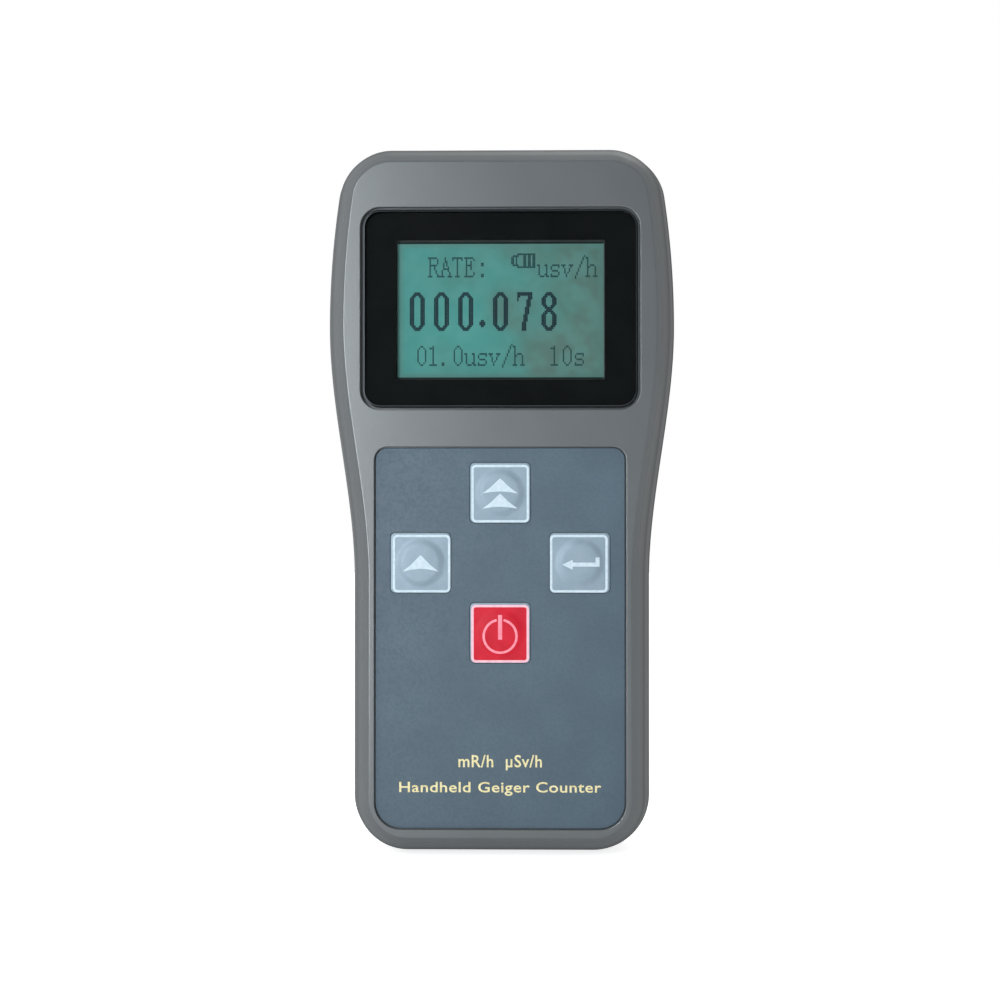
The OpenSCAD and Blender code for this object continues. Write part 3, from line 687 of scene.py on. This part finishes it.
def front_shell():
    board_d = depth_of(box_mm("main_board")[0].y)
    display_d = depth_of(box_mm("lcd_board")[0].y)
    made = shape("front_shell", [(d, case_ring(inset)) for d, inset in front_shell_profile()])
    # Each row: places, post radius, depth of the post's end, depth where its hole starts, hole radius.
    posts = [(CASE_SCREWS, CASE_POST_R, SEAM_D, 8.5, 1.5),
             (BOARD_SCREWS, CASE_POST_R, board_d, 5.5, 1.1),
             (DISPLAY_SCREWS, DISPLAY_POST_R, display_d, 4.0, 1.0)]
    solid = [prism(FRONT_WALL - CUT_PAST, end, disc_ring(x, z, r))
             for spots, r, end, _, _ in posts for x, z in spots]
    combine(made, "UNION", shape("posts", *solid))
    combine(made, "DIFFERENCE", shape("recesses", flared(window_ring, WINDOW_RECESS, 0.0, WINDOW_RIM_R),
                                      flared(film_ring, FILM_RECESS, 0.0, FILM_RIM_R)))
    rise = VIEW_H / 2 + OPENING_MARGIN_Z
    opening = rect_ring(VIEW_W + 2 * OPENING_MARGIN_X, LCD_Z - rise, LCD_Z + rise, OPENING_R, OPENING_R)
    past_wall = FRONT_WALL + CUT_PAST
    holes = [prism(HOLE_START, past_wall, opening)]
    holes += [prism(HOLE_START, past_wall, disc_ring(*key_centre(key), PLUNGER_HOLE_R)) for key in KEYS]
    holes += [prism(start, end + CUT_PAST, disc_ring(x, z, hole))
              for spots, _, end, start, hole in posts for x, z in spots]
    combine(made, "DIFFERENCE", shape("holes", *holes))
    return piece(made, "housing", "case_plastic", replaces=("front_case",))


def cover_ring(inset):
    return rect_ring(COVER_W + 2 * COVER_GAP, COVER_LOW.z - COVER_GAP, COVER_HIGH.z + COVER_GAP,
                     0.5, COVER_TOP_R + COVER_GAP, inset)


def sound_hole_spots():
    z = (BUZZER_LOW.z + BUZZER_HIGH.z) / 2
    turns = [math.pi / 3 * i for i in range(6)]
    return [(0.0, z)] + [(SOUND_RING_R * math.cos(a), z + SOUND_RING_R * math.sin(a)) for a in turns]


def flared_disc(x, z, r, d_floor, rim):
    return flared(lambda inset: disc_ring(x, z, r - inset), d_floor, BODY_D, rim)


COVER_RIM_R = 0.2
RECESS_RIM_R = 0.35
SOUND_RIM_R = 0.25


def rear_shell():
    inner_back = BODY_D - WALL
    outer_bay = BAY_W / 2 + BAY_WALL
    made = shape("rear_shell", [(d, case_ring(inset)) for d, inset in rear_shell_profile()])
    posts = [prism(SEAM_D, inner_back + CUT_PAST, disc_ring(x, z, REAR_POST_R)) for x, z in CASE_SCREWS]
    bay = [-outer_bay, outer_bay, BAY_D - BAY_WALL, inner_back + CUT_PAST,
           BAY_Z0 - BAY_WALL, BAY_Z1 + BAY_WALL]
    combine(made, "UNION", shape("posts", *posts))
    combine(made, "UNION", shape("bay_walls", bay))
    rim_x = COVER_W / 2 + LEDGE_OUT
    ledge = [-rim_x, rim_x, BODY_D - LEDGE_DEPTH, inner_back + CUT_PAST / 2,
             COVER_LOW.z - LEDGE_BELOW, COVER_HIGH.z + LEDGE_ABOVE]
    combine(made, "UNION", shape("cover_ledge", ledge))
    openings = [flared(cover_ring, BODY_D - COVER_T - CLEARANCE, BODY_D, COVER_RIM_R)]
    recess_floor = BODY_D - SCREW_RECESS_D
    openings += [flared_disc(x, z, SCREW_RECESS_R, recess_floor, RECESS_RIM_R) for x, z in CASE_SCREWS]
    past_wall = inner_back - CUT_PAST
    openings += [flared_disc(x, z, SOUND_HOLE_R, past_wall, SOUND_RIM_R) for x, z in sound_hole_spots()]
    combine(made, "DIFFERENCE", shape("openings", *openings))
    pocket = [[-BAY_W / 2, BAY_W / 2, BAY_D, BODY_D + CUT_PAST, BAY_Z0, BAY_Z1]]
    pocket += [prism(SEAM_D - CUT_PAST, recess_floor + CUT_PAST, disc_ring(x, z, CASE_SCREW_HOLE_R))
               for x, z in CASE_SCREWS]
    combine(made, "DIFFERENCE", shape("bay_pocket", *pocket))
    hinge_z = COVER_LOW.z + HINGE_R
    slot_x = COVER_W / 2 + COVER_GAP
    tab_d = depth_of(CELL_LOW.y + CONTACT_TAB_IN)
    slots = [[-slot_x, slot_x, BODY_D - 2 * HINGE_R - COVER_GAP, BODY_D - COVER_T,
              COVER_LOW.z - COVER_GAP, hinge_z + HINGE_SLOT_RISE]]
    slots += [[-CATCH_HALF_W, CATCH_HALF_W, BODY_D - CATCH_DEPTH, inner_back - CLEARANCE / 2,
               BAY_Z1 - CUT_PAST, BAY_Z1 + CATCH_H]]
    slots += [[x - TAB_SLOT_HALF_W, x + TAB_SLOT_HALF_W, tab_d - TAB_SLOT_FRONT, tab_d - TAB_SLOT_BACK,
               BAY_Z1 - CUT_PAST, BAY_Z1 + BAY_WALL + CUT_PAST] for x in sides(CONTACT_TAB_X)]
    combine(made, "DIFFERENCE", shape("slots", *slots))
    return piece(made, "housing", "case_plastic", replaces=("rear_case",))


# ---- Display window

PANE_CLEARANCE = 0.03


def window_lens():
    """Clear pane with a narrow polished chamfer round its front."""
    front, back = depth_of(LENS_LOW.y), depth_of(LENS_HIGH.y) - PANE_CLEARANCE
    chamfer = 0.45
    levels = [(back, 0.0), (front + chamfer, 0.0), (front + 0.75 * chamfer, 0.1 * chamfer),
              (front + 0.1 * chamfer, 0.75 * chamfer), (front, chamfer)]
    made = shape("window_lens", [(d, window_ring(WINDOW_GAP + inset)) for d, inset in levels])
    for face in made.data.polygons:
        face.material_index = 1 if 0.1 < -face.normal.y < 0.99 else 0
    piece(made, "housing", "window_clear", "window_clear", "lens_edge",
          replaces=("display_window",), sharp=25)


# ---- Keypad film

FILM_EDGE_R = 0.15
KEY_OPENING_EDGE_R = 0.06


def film_outline(inset):
    return film_ring(inset + FILM_GAP)


def key_opening(x, z):
    """A cutter for the opening in which a key sits."""
    def ring_of(inset):
        return square_ring(x, z, KEY_SIZE + 2 * KEY_GAP, KEY_R + KEY_GAP, inset)
    return flared(ring_of, FILM_RECESS + CUT_PAST, FILM_D, KEY_OPENING_EDGE_R, steps=3)


def keypad_film():
    made = shape("keypad_film", rounded_slab(film_outline, FILM_RECESS, FILM_D, FILM_EDGE_R))
    combine(made, "DIFFERENCE", shape("key_openings", *[key_opening(*key_centre(key)) for key in KEYS]))
    piece(made, "housing", "film_blue", replaces=("keypad_overlay",))


# ---- Keys

DOME_STEP = 1.7
DOME_SWELL = 0.08
DOME_FOOT = 0.25
DOME_RINGS = 18
KEY_EDGE_R = 0.12
KEY_FRAME_W = 0.5
KEY_FRAME_SIZE = 12.1
KEY_FRAME_SHIFT = {
    "double_up": (0.02, -0.2),
    "up": (0.2, -0.18),
    "enter": (-0.2, -0.18),
    "power": (0.0, -0.18),
}


def dome_depth(x, z, crown, face):
    """Depth of a key's face at a point from its middle: flat, then a soft step up to a gentle crown."""
    r = math.hypot(x, z)
    step = smooth_step((DOME_R + 0.2 - r) / DOME_STEP)
    swell = DOME_SWELL * (1 - min(r / DOME_R, 1.0) ** 2)
    return face - (face - crown - DOME_SWELL + swell) * step


def key_cap(key):
    x, z = key_centre(key)
    low, high = box_mm("key_" + key)
    crown, back = depth_of(low.y), depth_of(high.y)
    face = back - KEY_T
    edge = KEY_EDGE_R
    dx, dz = KEY_FRAME_SHIFT[key]
    bm = bmesh.new()
    outer = [(d, refined(square_ring(x, z, KEY_SIZE, KEY_R, inset))) for d, inset in (
        (back, 0.0), (face + edge, 0.0), (face + 0.3 * edge, 0.3 * edge), (face, edge))]
    outer.append((face, refined(square_ring(x + dx, z + dz, KEY_FRAME_SIZE, KEY_R, KEY_FRAME_W / 2))))
    count = len(outer[0][1])
    radii = [(DOME_R + DOME_FOOT) * (1 - i / DOME_RINGS) for i in range(DOME_RINGS)]
    turns = [math.atan2(pz - z, px - x) for px, pz in outer[-1][1]]
    inner = []
    for r in radii:
        ring = [(x + r * math.cos(a), z + r * math.sin(a)) for a in turns]
        inner.append((dome_depth(r, 0.0, crown, face), ring))
    levels = outer + inner
    rows = [[bm.verts.new((px, CASE_LOW.y + d, pz)) for px, pz in ring] for d, ring in levels]
    middle = bm.verts.new((x, CASE_LOW.y + crown, z))
    for level, (a, b) in enumerate(zip(rows, rows[1:])):
        for i in range(count):
            made = bm.faces.new((a[i], a[i - 1], b[i - 1], b[i]))
            made.material_index = 1 if level < len(outer) - 1 else 0
    for i in range(count):
        bm.faces.new((rows[-1][i], rows[-1][i - 1], middle))
    bm.faces.new(rows[0])
    slot = "key_red" if key == "power" else "key_silver"
    piece(mesh_object("cap_" + key, bm), key + "_button", slot, slot, "key_silver",
          replaces=("key_" + key,), sharp=50)
    return crown, face


INK_T = 0.03
ICON_EDGE = 0.45


def key_frame(key, face):
    """The printed line round a key."""
    x, z = key_centre(key)
    dx, dz = KEY_FRAME_SHIFT[key]
    outer = square_ring(x + dx, z + dz, KEY_FRAME_SIZE, KEY_R)
    inner = square_ring(x + dx, z + dz, KEY_FRAME_SIZE, KEY_R, KEY_FRAME_W)
    front, back = CASE_LOW.y + face - INK_T, CASE_LOW.y + face + INK_T
    bm = bmesh.new()
    corners = [(outer, back), (outer, front), (inner, front), (inner, back)]
    rows = [[bm.verts.new((px, y, pz)) for px, pz in ring] for ring, y in corners]
    for a, b in zip(rows, rows[1:] + rows[:1]):
        for i in range(len(outer)):
            bm.faces.new((a[i], a[i - 1], b[i - 1], b[i]))
    made = mesh_object("frame_print_" + key, bm)
    colour = "ink_rim_pink" if key == "power" else "ink_white"
    piece(made, key + "_button", "key_red" if key == "power" else "key_silver", colour)


def arrowhead(base, apex, half_w, notch):
    """A filled arrowhead with slightly hollow edges, as (x, z) points."""
    rise = apex - base
    right = [(half_w, base), (half_w * 0.52, base + rise * 0.42), (half_w * 0.14, base + rise * 0.86)]
    left = [(-px, pz) for px, pz in reversed(right)]
    return right + [(0.0, apex)] + left + [(-half_w * 0.5, base + notch * 0.7), (0.0, base + notch),
                                           (half_w * 0.5, base + notch * 0.7)]


def ring_stroke(centre_z, radius, width, gap_deg, steps=48):
    """An open ring with its gap at the top."""
    first = math.radians(90 + gap_deg / 2)
    sweep = math.radians(360 - gap_deg)
    turns = [first + sweep * i / steps for i in range(steps + 1)]
    rows = [[(r * math.cos(a), centre_z + r * math.sin(a)) for a in turns]
            for r in (radius + width / 2, radius - width / 2)]
    return rows[0] + rows[1][::-1]


ICONS = {
    "double_up": [arrowhead(-0.15, 3.0, 3.7, 0.42), arrowhead(-3.35, -0.2, 3.7, 0.42)],
    "up": [arrowhead(-1.85, 1.6, 3.8, 0.6)],
    "enter": [[(-3.7, -0.4), (-1.5, -1.45), (-1.5, -0.8), (4.15, -0.8), (4.15, 1.15),
               (3.3, 1.15), (3.3, 0.05), (-1.5, 0.05), (-1.5, 0.65)]],
    "power": [ring_stroke(-0.7, 3.45, 0.5, 24), [(-0.42, -1.4), (0.42, -1.4), (0.42, 3.75), (-0.42, 3.75)]],
}


def key_icon(key, crown, face):
    """The key's symbol, draped over its dome."""
    x, z = key_centre(key)
    bm = bmesh.new()
    for outline in ICONS[key]:
        bm.faces.new([bm.verts.new((px, 0.0, pz)) for px, pz in outline])
    bm.normal_update()
    bmesh.ops.triangulate(bm, faces=bm.faces)
    for _ in range(4):
        long_edges = [e for e in bm.edges if e.calc_length() > ICON_EDGE]
        bmesh.ops.subdivide_edges(bm, edges=long_edges, cuts=1)
        bmesh.ops.triangulate(bm, faces=bm.faces)
    sheet = bmesh.ops.extrude_face_region(bm, geom=bm.faces[:])
    raised = {v for v in sheet["geom"] if isinstance(v, bmesh.types.BMVert)}
    for vertex in bm.verts:
        lift = -INK_T if vertex in raised else INK_T
        vertex.co.y = CASE_LOW.y + dome_depth(vertex.co.x, vertex.co.z, crown, face) + lift
        vertex.co.x += x
        vertex.co.z += z
    made = mesh_object("icon_print_" + key, bm)
    colour = "ink_pink" if key == "power" else "ink_white"
    piece(made, key + "_button", "key_red" if key == "power" else "key_silver", colour)


def keys():
    for key in KEYS:
        crown, face = key_cap(key)
        key_frame(key, face)
        key_icon(key, crown, face)


# ---- What the display shows

DOT_PITCH = (0.32, 0.39)
DOT_SIZE = (0.3, 0.37)
DOT_COUNT = (128, 64)
DOT_T = 0.02

SMALL_GLYPHS = {
    "RATE:/.": """
        ........ ........ ........ ........ ........ .......# ........
        ######.. ...#.... #######. ######.. ........ ......#. ........
        .#....#. ...#.... #..#..#. .#....#. ........ ......#. ........
        .#....#. ...##... ...#.... .#..#... ........ .....#.. ........
        .#....#. ..#.#... ...#.... .#..#... ...##... .....#.. ........
        .#####.. ..#.#... ...#.... .####... ...##... ....#... ........
        .#..#... ..#..#.. ...#.... .#..#... ........ ....#... ........
        .#..#... ..####.. ...#.... .#..#... ........ ...#.... ........
        .#...#.. .#...#.. ...#.... .#...... ........ ...#.... ........
        .#...#.. .#....#. ...#.... .#....#. ........ ..#..... ........
        .#....#. .#....#. ...#.... .#....#. ...##... ..#..... .##.....
        ###...## ###..### ..###... ######.. ...##... .#...... .##.....
        ........ ........ ........ ........ ........ .#...... ........""",
    "usvh01": """
        ........ ........ ........ ........ ........ ........
        ........ ........ ........ ##...... ...##... ...#....
        ........ ........ ........ .#...... ..#..#.. .###....
        ........ ........ ........ .#...... .#....#. ...#....
        ........ ........ ........ .#...... .#....#. ...#....
        ##...##. ..#####. ###..### .#.###.. .#....#. ...#....
        .#....#. .#....#. .#....#. .##...#. .#....#. ...#....
        .#....#. .#...... ..#..#.. .#....#. .#....#. ...#....
        .#....#. ..####.. ..#..#.. .#....#. .#....#. ...#....
        .#....#. ......#. ..#.#... .#....#. .#....#. ...#....
        .#...##. .#....#. ...#.... .#....#. ..#..#.. ...#....
        ..###.## .#####.. ...#.... ###..### ...##... .#####..
        ........ ........ ........ ........ ........ ........""",
}
SMALL_TOP = 2
SMALL_W = 8

BIG_GLYPHS = {
    "078": """
        ...####... ########## ...####...
        ..######.. ########## ..######..
        .###..###. ##.....### .###..###.
        ###....### #......### ###....###
        ###....### #.....###. ###....###
        ###....### ......###. ###....###
        ###....### ......###. ###....###
        ###....### ......###. .###..###.
        ###....### .....###.. ..######..
        ###....### .....###.. ...####...
        ###....### .....###.. ..######..
        ###....### .....###.. .###..###.
        ###....### ....###... ###....###
        ###....### ....###... ###....###
        ###....### ....###... ###....###
        ###....### ....###... ###....###
        ###....### ...###.... ###....###
        ###....### ...###.... ###....###
        .###..###. ...###.... .###..###.
        ..######.. ...###.... ..######..
        ...####... ...###.... ...####...""",
}

BATTERY_SIGN = """
        ....############
        .####...##.##.##
        ##.#....##.##.##
        ##.#....##.##.##
        ##.#....##.##.##
        ##.#....##.##.##
        .####...##.##.##
        ....############"""

POINT_SIGN = """
        .##.
        ####
        ####
        .##."""


def glyphs(sheets):
    """Splits sheets of dot art into {character: rows}."""
    made = {}
    for letters, art in sheets.items():
        rows = [row.split() for row in art.split("\n") if row.strip()]
        for i, letter in enumerate(letters):
            made[letter] = [row[i] for row in rows]
    return made


def dots_of(rows, column, row):
    """Places of the lit dots of one picture whose corner is at a column and row of the display."""
    return [(column + i, row + j)
            for j, line in enumerate(rows) for i, mark in enumerate(line) if mark == "#"]


def art_rows(art):
    return art.split()


def small_text():
    font = glyphs(SMALL_GLYPHS)
    lit = []
    for text, column, row in (("RATE:", 16, 0), ("usv/h", 88, 0), ("01.0usv/h", 8, 48), ("10s", 96, 48)):
        for i, letter in enumerate(text):
            lit += dots_of(font[letter], column + SMALL_W * i, row + SMALL_TOP)
    return lit + dots_of(art_rows(BATTERY_SIGN), 71, 1)


def big_text():
    font = glyphs(BIG_GLYPHS)
    lit = []
    for letter, column in zip("000078", (4, 20, 36, 59, 75, 91)):
        lit += dots_of(font[letter], column, 22)
    return lit + dots_of(art_rows(POINT_SIGN), 50, 37)


def lit_dots(name, lit, colour):
    """Thin tiles just in front of the display glass, one for each lit dot."""
    bm = bmesh.new()
    left = -DOT_COUNT[0] * DOT_PITCH[0] / 2
    top = LCD_Z + DOT_COUNT[1] * DOT_PITCH[1] / 2
    for column, row in sorted(set(lit)):
        x = left + DOT_PITCH[0] * (column + 0.5)
        z = top - DOT_PITCH[1] * (row + 0.5)
        block(bm, x - DOT_SIZE[0] / 2, x + DOT_SIZE[0] / 2, GLASS_D - DOT_T, GLASS_D + DOT_T,
              z - DOT_SIZE[1] / 2, z + DOT_SIZE[1] / 2)
    piece(mesh_object(name, bm), "housing", "lcd_glass", colour)


# ---- Printing on the film

def film_text(name, words, z, height, width):
    """A raised line of gold lettering of the given height over all and width."""
    curve = bpy.data.curves.new(name, "FONT")
    curve.body = words
    curve.align_x = "CENTER"
    curve.size = 1.0
    curve.space_character = 1.06
    curve.offset = 0.012
    curve.resolution_u = 3
    flat = bpy.data.objects.new(name + "_curve", curve)
    bpy.context.scene.collection.objects.link(flat)
    bpy.context.view_layer.update()
    graph = bpy.context.evaluated_depsgraph_get()
    mesh = bpy.data.meshes.new_from_object(flat.evaluated_get(graph))
    bpy.data.objects.remove(flat)
    bm = bmesh.new()
    bm.from_mesh(mesh)
    bmesh.ops.remove_doubles(bm, verts=bm.verts, dist=0.0005)
    low_x, high_x = min(v.co.x for v in bm.verts), max(v.co.x for v in bm.verts)
    low_y, high_y = min(v.co.y for v in bm.verts), max(v.co.y for v in bm.verts)
    sheet = bmesh.ops.extrude_face_region(bm, geom=bm.faces[:])
    raised = {v for v in sheet["geom"] if isinstance(v, bmesh.types.BMVert)}
    for vertex in bm.verts:
        x = (vertex.co.x - (low_x + high_x) / 2) * width / (high_x - low_x)
        up = (vertex.co.y - low_y) * height / (high_y - low_y)
        vertex.co = (x, CASE_LOW.y + FILM_D + (-INK_T if vertex in raised else INK_T), z - height / 2 + up)
    piece(mesh_object(name, bm), "housing", "film_blue", "ink_gold")


# ---- CAD nodes that stay in view

# Radius of the rounded edges of each node, in millimetres. The others keep crisp edges.
EDGE_SOFTENING = {
    "battery_cover": 0.18, "battery_latch": 0.18,
    "case_screws": 0.15, "board_screws": 0.12, "lcd_screws": 0.12,
    "battery_contacts": 0.1, "battery_cell_left": 0.35, "battery_cell_right": 0.35,
    "lcd_bezel": 0.12, "lcd_board": 0.15, "main_board": 0.15,
    "processor": 0.08, "support_chips": 0.12, "crystal": 0.25, "switch_bodies": 0.12,
    "hv_capacitors": 0.3, "supply_capacitor": 0.3, "hv_transformer": 0.2,
    "buzzer": 0.3, "gm_tube": 0.2,
}


WELD_DISTANCE = 0.002
FLAT_WITHIN_DEG = 0.5
ROUNDED_FROM_DEG = 40
CRISP_FROM_DEG = 35


def soften_cad_nodes():
    """Small rounded edges and smooth shading on the CAD nodes that carry over, as modifiers only."""
    for name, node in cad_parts.items():
        weld = node.modifiers.new("weld", "WELD")
        weld.merge_threshold = WELD_DISTANCE * MM
        if name in EDGE_SOFTENING:
            flat = node.modifiers.new("flat_faces", "DECIMATE")
            flat.decimate_type = "DISSOLVE"
            flat.angle_limit = math.radians(FLAT_WITHIN_DEG)
            edge = node.modifiers.new("soft_edges", "BEVEL")
            edge.width = EDGE_SOFTENING[name] * MM
            edge.segments = 3
            edge.limit_method = "ANGLE"
            edge.angle_limit = math.radians(ROUNDED_FROM_DEG)
            edge.harden_normals = False
        node.data.shade_smooth()
        split = node.modifiers.new("crisp_edges", "EDGE_SPLIT")
        split.split_angle = math.radians(CRISP_FROM_DEG)


def dress_cad_nodes():
    """Gives every carried-over CAD node the finish of its own material slot."""
    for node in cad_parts.values():
        slots = [m.name.split(".")[0] for m in node.data.materials]
        node.data.materials.clear()
        for name in slots:
            node.data.materials.append(FINISHES[name])


# ---- Stage, light and camera

FLOOR_HALF = 3.0
FLOOR_GLOW = 0.8
FLOOR_BOUNCE = 0.25


def floor():
    """A pale floor that reads white to the camera and still takes a faint shadow."""
    made = Finish("floor_pale", Roughness=0.8, Specular_IOR_Level=0.1)
    tone = made.span(made.noise(400.0, 2.0), 0.3, 0.7)
    made.put("Base Color", made.mix(tone, (0.68, 0.68, 0.68, 1.0), (0.7, 0.7, 0.7, 1.0)))
    seen = made.node("ShaderNodeLightPath").outputs["Is Camera Ray"]
    made.put("Emission Color", (1.0, 1.0, 1.0, 1.0))
    made.put("Emission Strength", made.span(seen, 0.0, 1.0, FLOOR_BOUNCE, FLOOR_GLOW, "LINEAR"))
    bm = bmesh.new()
    bmesh.ops.create_grid(bm, x_segments=8, y_segments=8, size=FLOOR_HALF)
    ground = mesh_object("floor", bm)
    ground.data.materials.append(made.material)
    if ground.data.polygons[0].normal.z < 0:
        ground.data.flip_normals()


LEFT_GLOW = 1.0
RIGHT_GLOW = 0.78
FRONT_GLOW = 0.12
BACK_GLOW = 0.85
SIDEWAYS_SPAN = (-0.9, 0.9)
FRONTAL_SPAN = (-0.9, -0.3)
REAR_SPAN = (0.1, 0.7)


def surroundings():
    """A white backdrop for the camera. The object sees a softer light, dim in front."""
    world = bpy.data.worlds.new("studio")
    bpy.context.scene.world = world
    world.use_nodes = True
    tree = world.node_tree
    tree.nodes.clear()

    def node(kind, **settings):
        made = tree.nodes.new(kind)
        for key, value in settings.items():
            setattr(made, key, value)
        return made

    def ramp(source, low, high, to_low, to_high):
        made = node("ShaderNodeMapRange", interpolation_type="SMOOTHSTEP")
        tree.links.new(source, made.inputs["Value"])
        for target, given in zip(list(made.inputs)[1:5], (low, high, to_low, to_high)):
            target.default_value = given
        return made.outputs[0]

    def product(a, b):
        made = node("ShaderNodeMath", operation="MULTIPLY")
        tree.links.new(a, made.inputs[0])
        tree.links.new(b, made.inputs[1])
        return made.outputs[0]

    split = node("ShaderNodeSeparateXYZ")
    tree.links.new(node("ShaderNodeTexCoord").outputs["Generated"], split.inputs[0])
    sideways = ramp(split.outputs["X"], *SIDEWAYS_SPAN, LEFT_GLOW, RIGHT_GLOW)
    frontal = ramp(split.outputs["Y"], *FRONTAL_SPAN, FRONT_GLOW, 1.0)
    behind = ramp(split.outputs["Y"], *REAR_SPAN, 1.0, BACK_GLOW)
    shade = product(product(sideways, frontal), behind)
    strength = node("ShaderNodeMix", data_type="FLOAT")
    tree.links.new(node("ShaderNodeLightPath").outputs["Is Camera Ray"], strength.inputs[0])
    tree.links.new(shade, strength.inputs[2])
    strength.inputs[3].default_value = 1.0
    glow = node("ShaderNodeBackground")
    glow.inputs["Color"].default_value = (1.0, 1.0, 1.0, 1.0)
    tree.links.new(strength.outputs[0], glow.inputs["Strength"])
    out = node("ShaderNodeOutputWorld")
    tree.links.new(glow.outputs[0], out.inputs["Surface"])


def softbox(name, place, aim, width, height, power, colour):
    light = bpy.data.lights.new(name, "AREA")
    light.shape = "RECTANGLE"
    light.size = width
    light.size_y = height
    light.energy = power
    light.color = colour
    made = bpy.data.objects.new(name, light)
    bpy.context.scene.collection.objects.link(made)
    made.location = place
    made.rotation_euler = (Vector(aim) - Vector(place)).to_track_quat("-Z", "Y").to_euler()
    made.visible_camera = False


def lights():
    aim = (0.0, 0.0, 0.07)
    softbox("key_left", (-0.165, -0.48, 0.095), aim, 0.06, 0.32, 2.55, (0.90, 0.96, 1.0))
    softbox("top_back", (0.25, 0.60, 0.85), aim, 0.6, 0.6, 1.2, (1.0, 1.0, 1.0))


CAMERA_AZIMUTH = 1.5
CAMERA_ELEVATION = -0.5
CAMERA_DISTANCE = 0.5516
CAMERA_LENS = 92.0
CAMERA_SHIFT = -0.43
SENSOR = 36.0


def camera():
    data = bpy.data.cameras.new("camera")
    data.lens = CAMERA_LENS
    data.sensor_width = SENSOR
    data.clip_start = 0.01
    data.clip_end = 20.0
    made = bpy.data.objects.new("camera", data)
    bpy.context.scene.collection.objects.link(made)
    a, e = math.radians(CAMERA_AZIMUTH), math.radians(CAMERA_ELEVATION)
    back = Vector((math.sin(a) * math.cos(e), -math.cos(a) * math.cos(e), math.sin(e)))
    made.location = Vector((CAMERA_SHIFT, 0.0, BODY_H / 2)) * MM + back * CAMERA_DISTANCE
    made.rotation_euler = (-back).to_track_quat("-Z", "Y").to_euler()
    bpy.context.scene.camera = made


# ---- The whole scene

dress_cad_nodes()
soften_cad_nodes()
front_shell()
rear_shell()
window_lens()
keypad_film()
keys()
lit_dots("display_figures", big_text(), "lcd_dot")
lit_dots("display_letters", small_text(), "lcd_dot_small")
film_text("unit_print", "mR/h  µSv/h", z=19.8, height=3.2, width=17.5)
film_text("name_print", "Handheld Geiger Counter", z=14.3, height=2.9, width=42.4)
floor()
surroundings()
lights()
camera()
bpy.context.scene.view_settings.view_transform = "Standard"
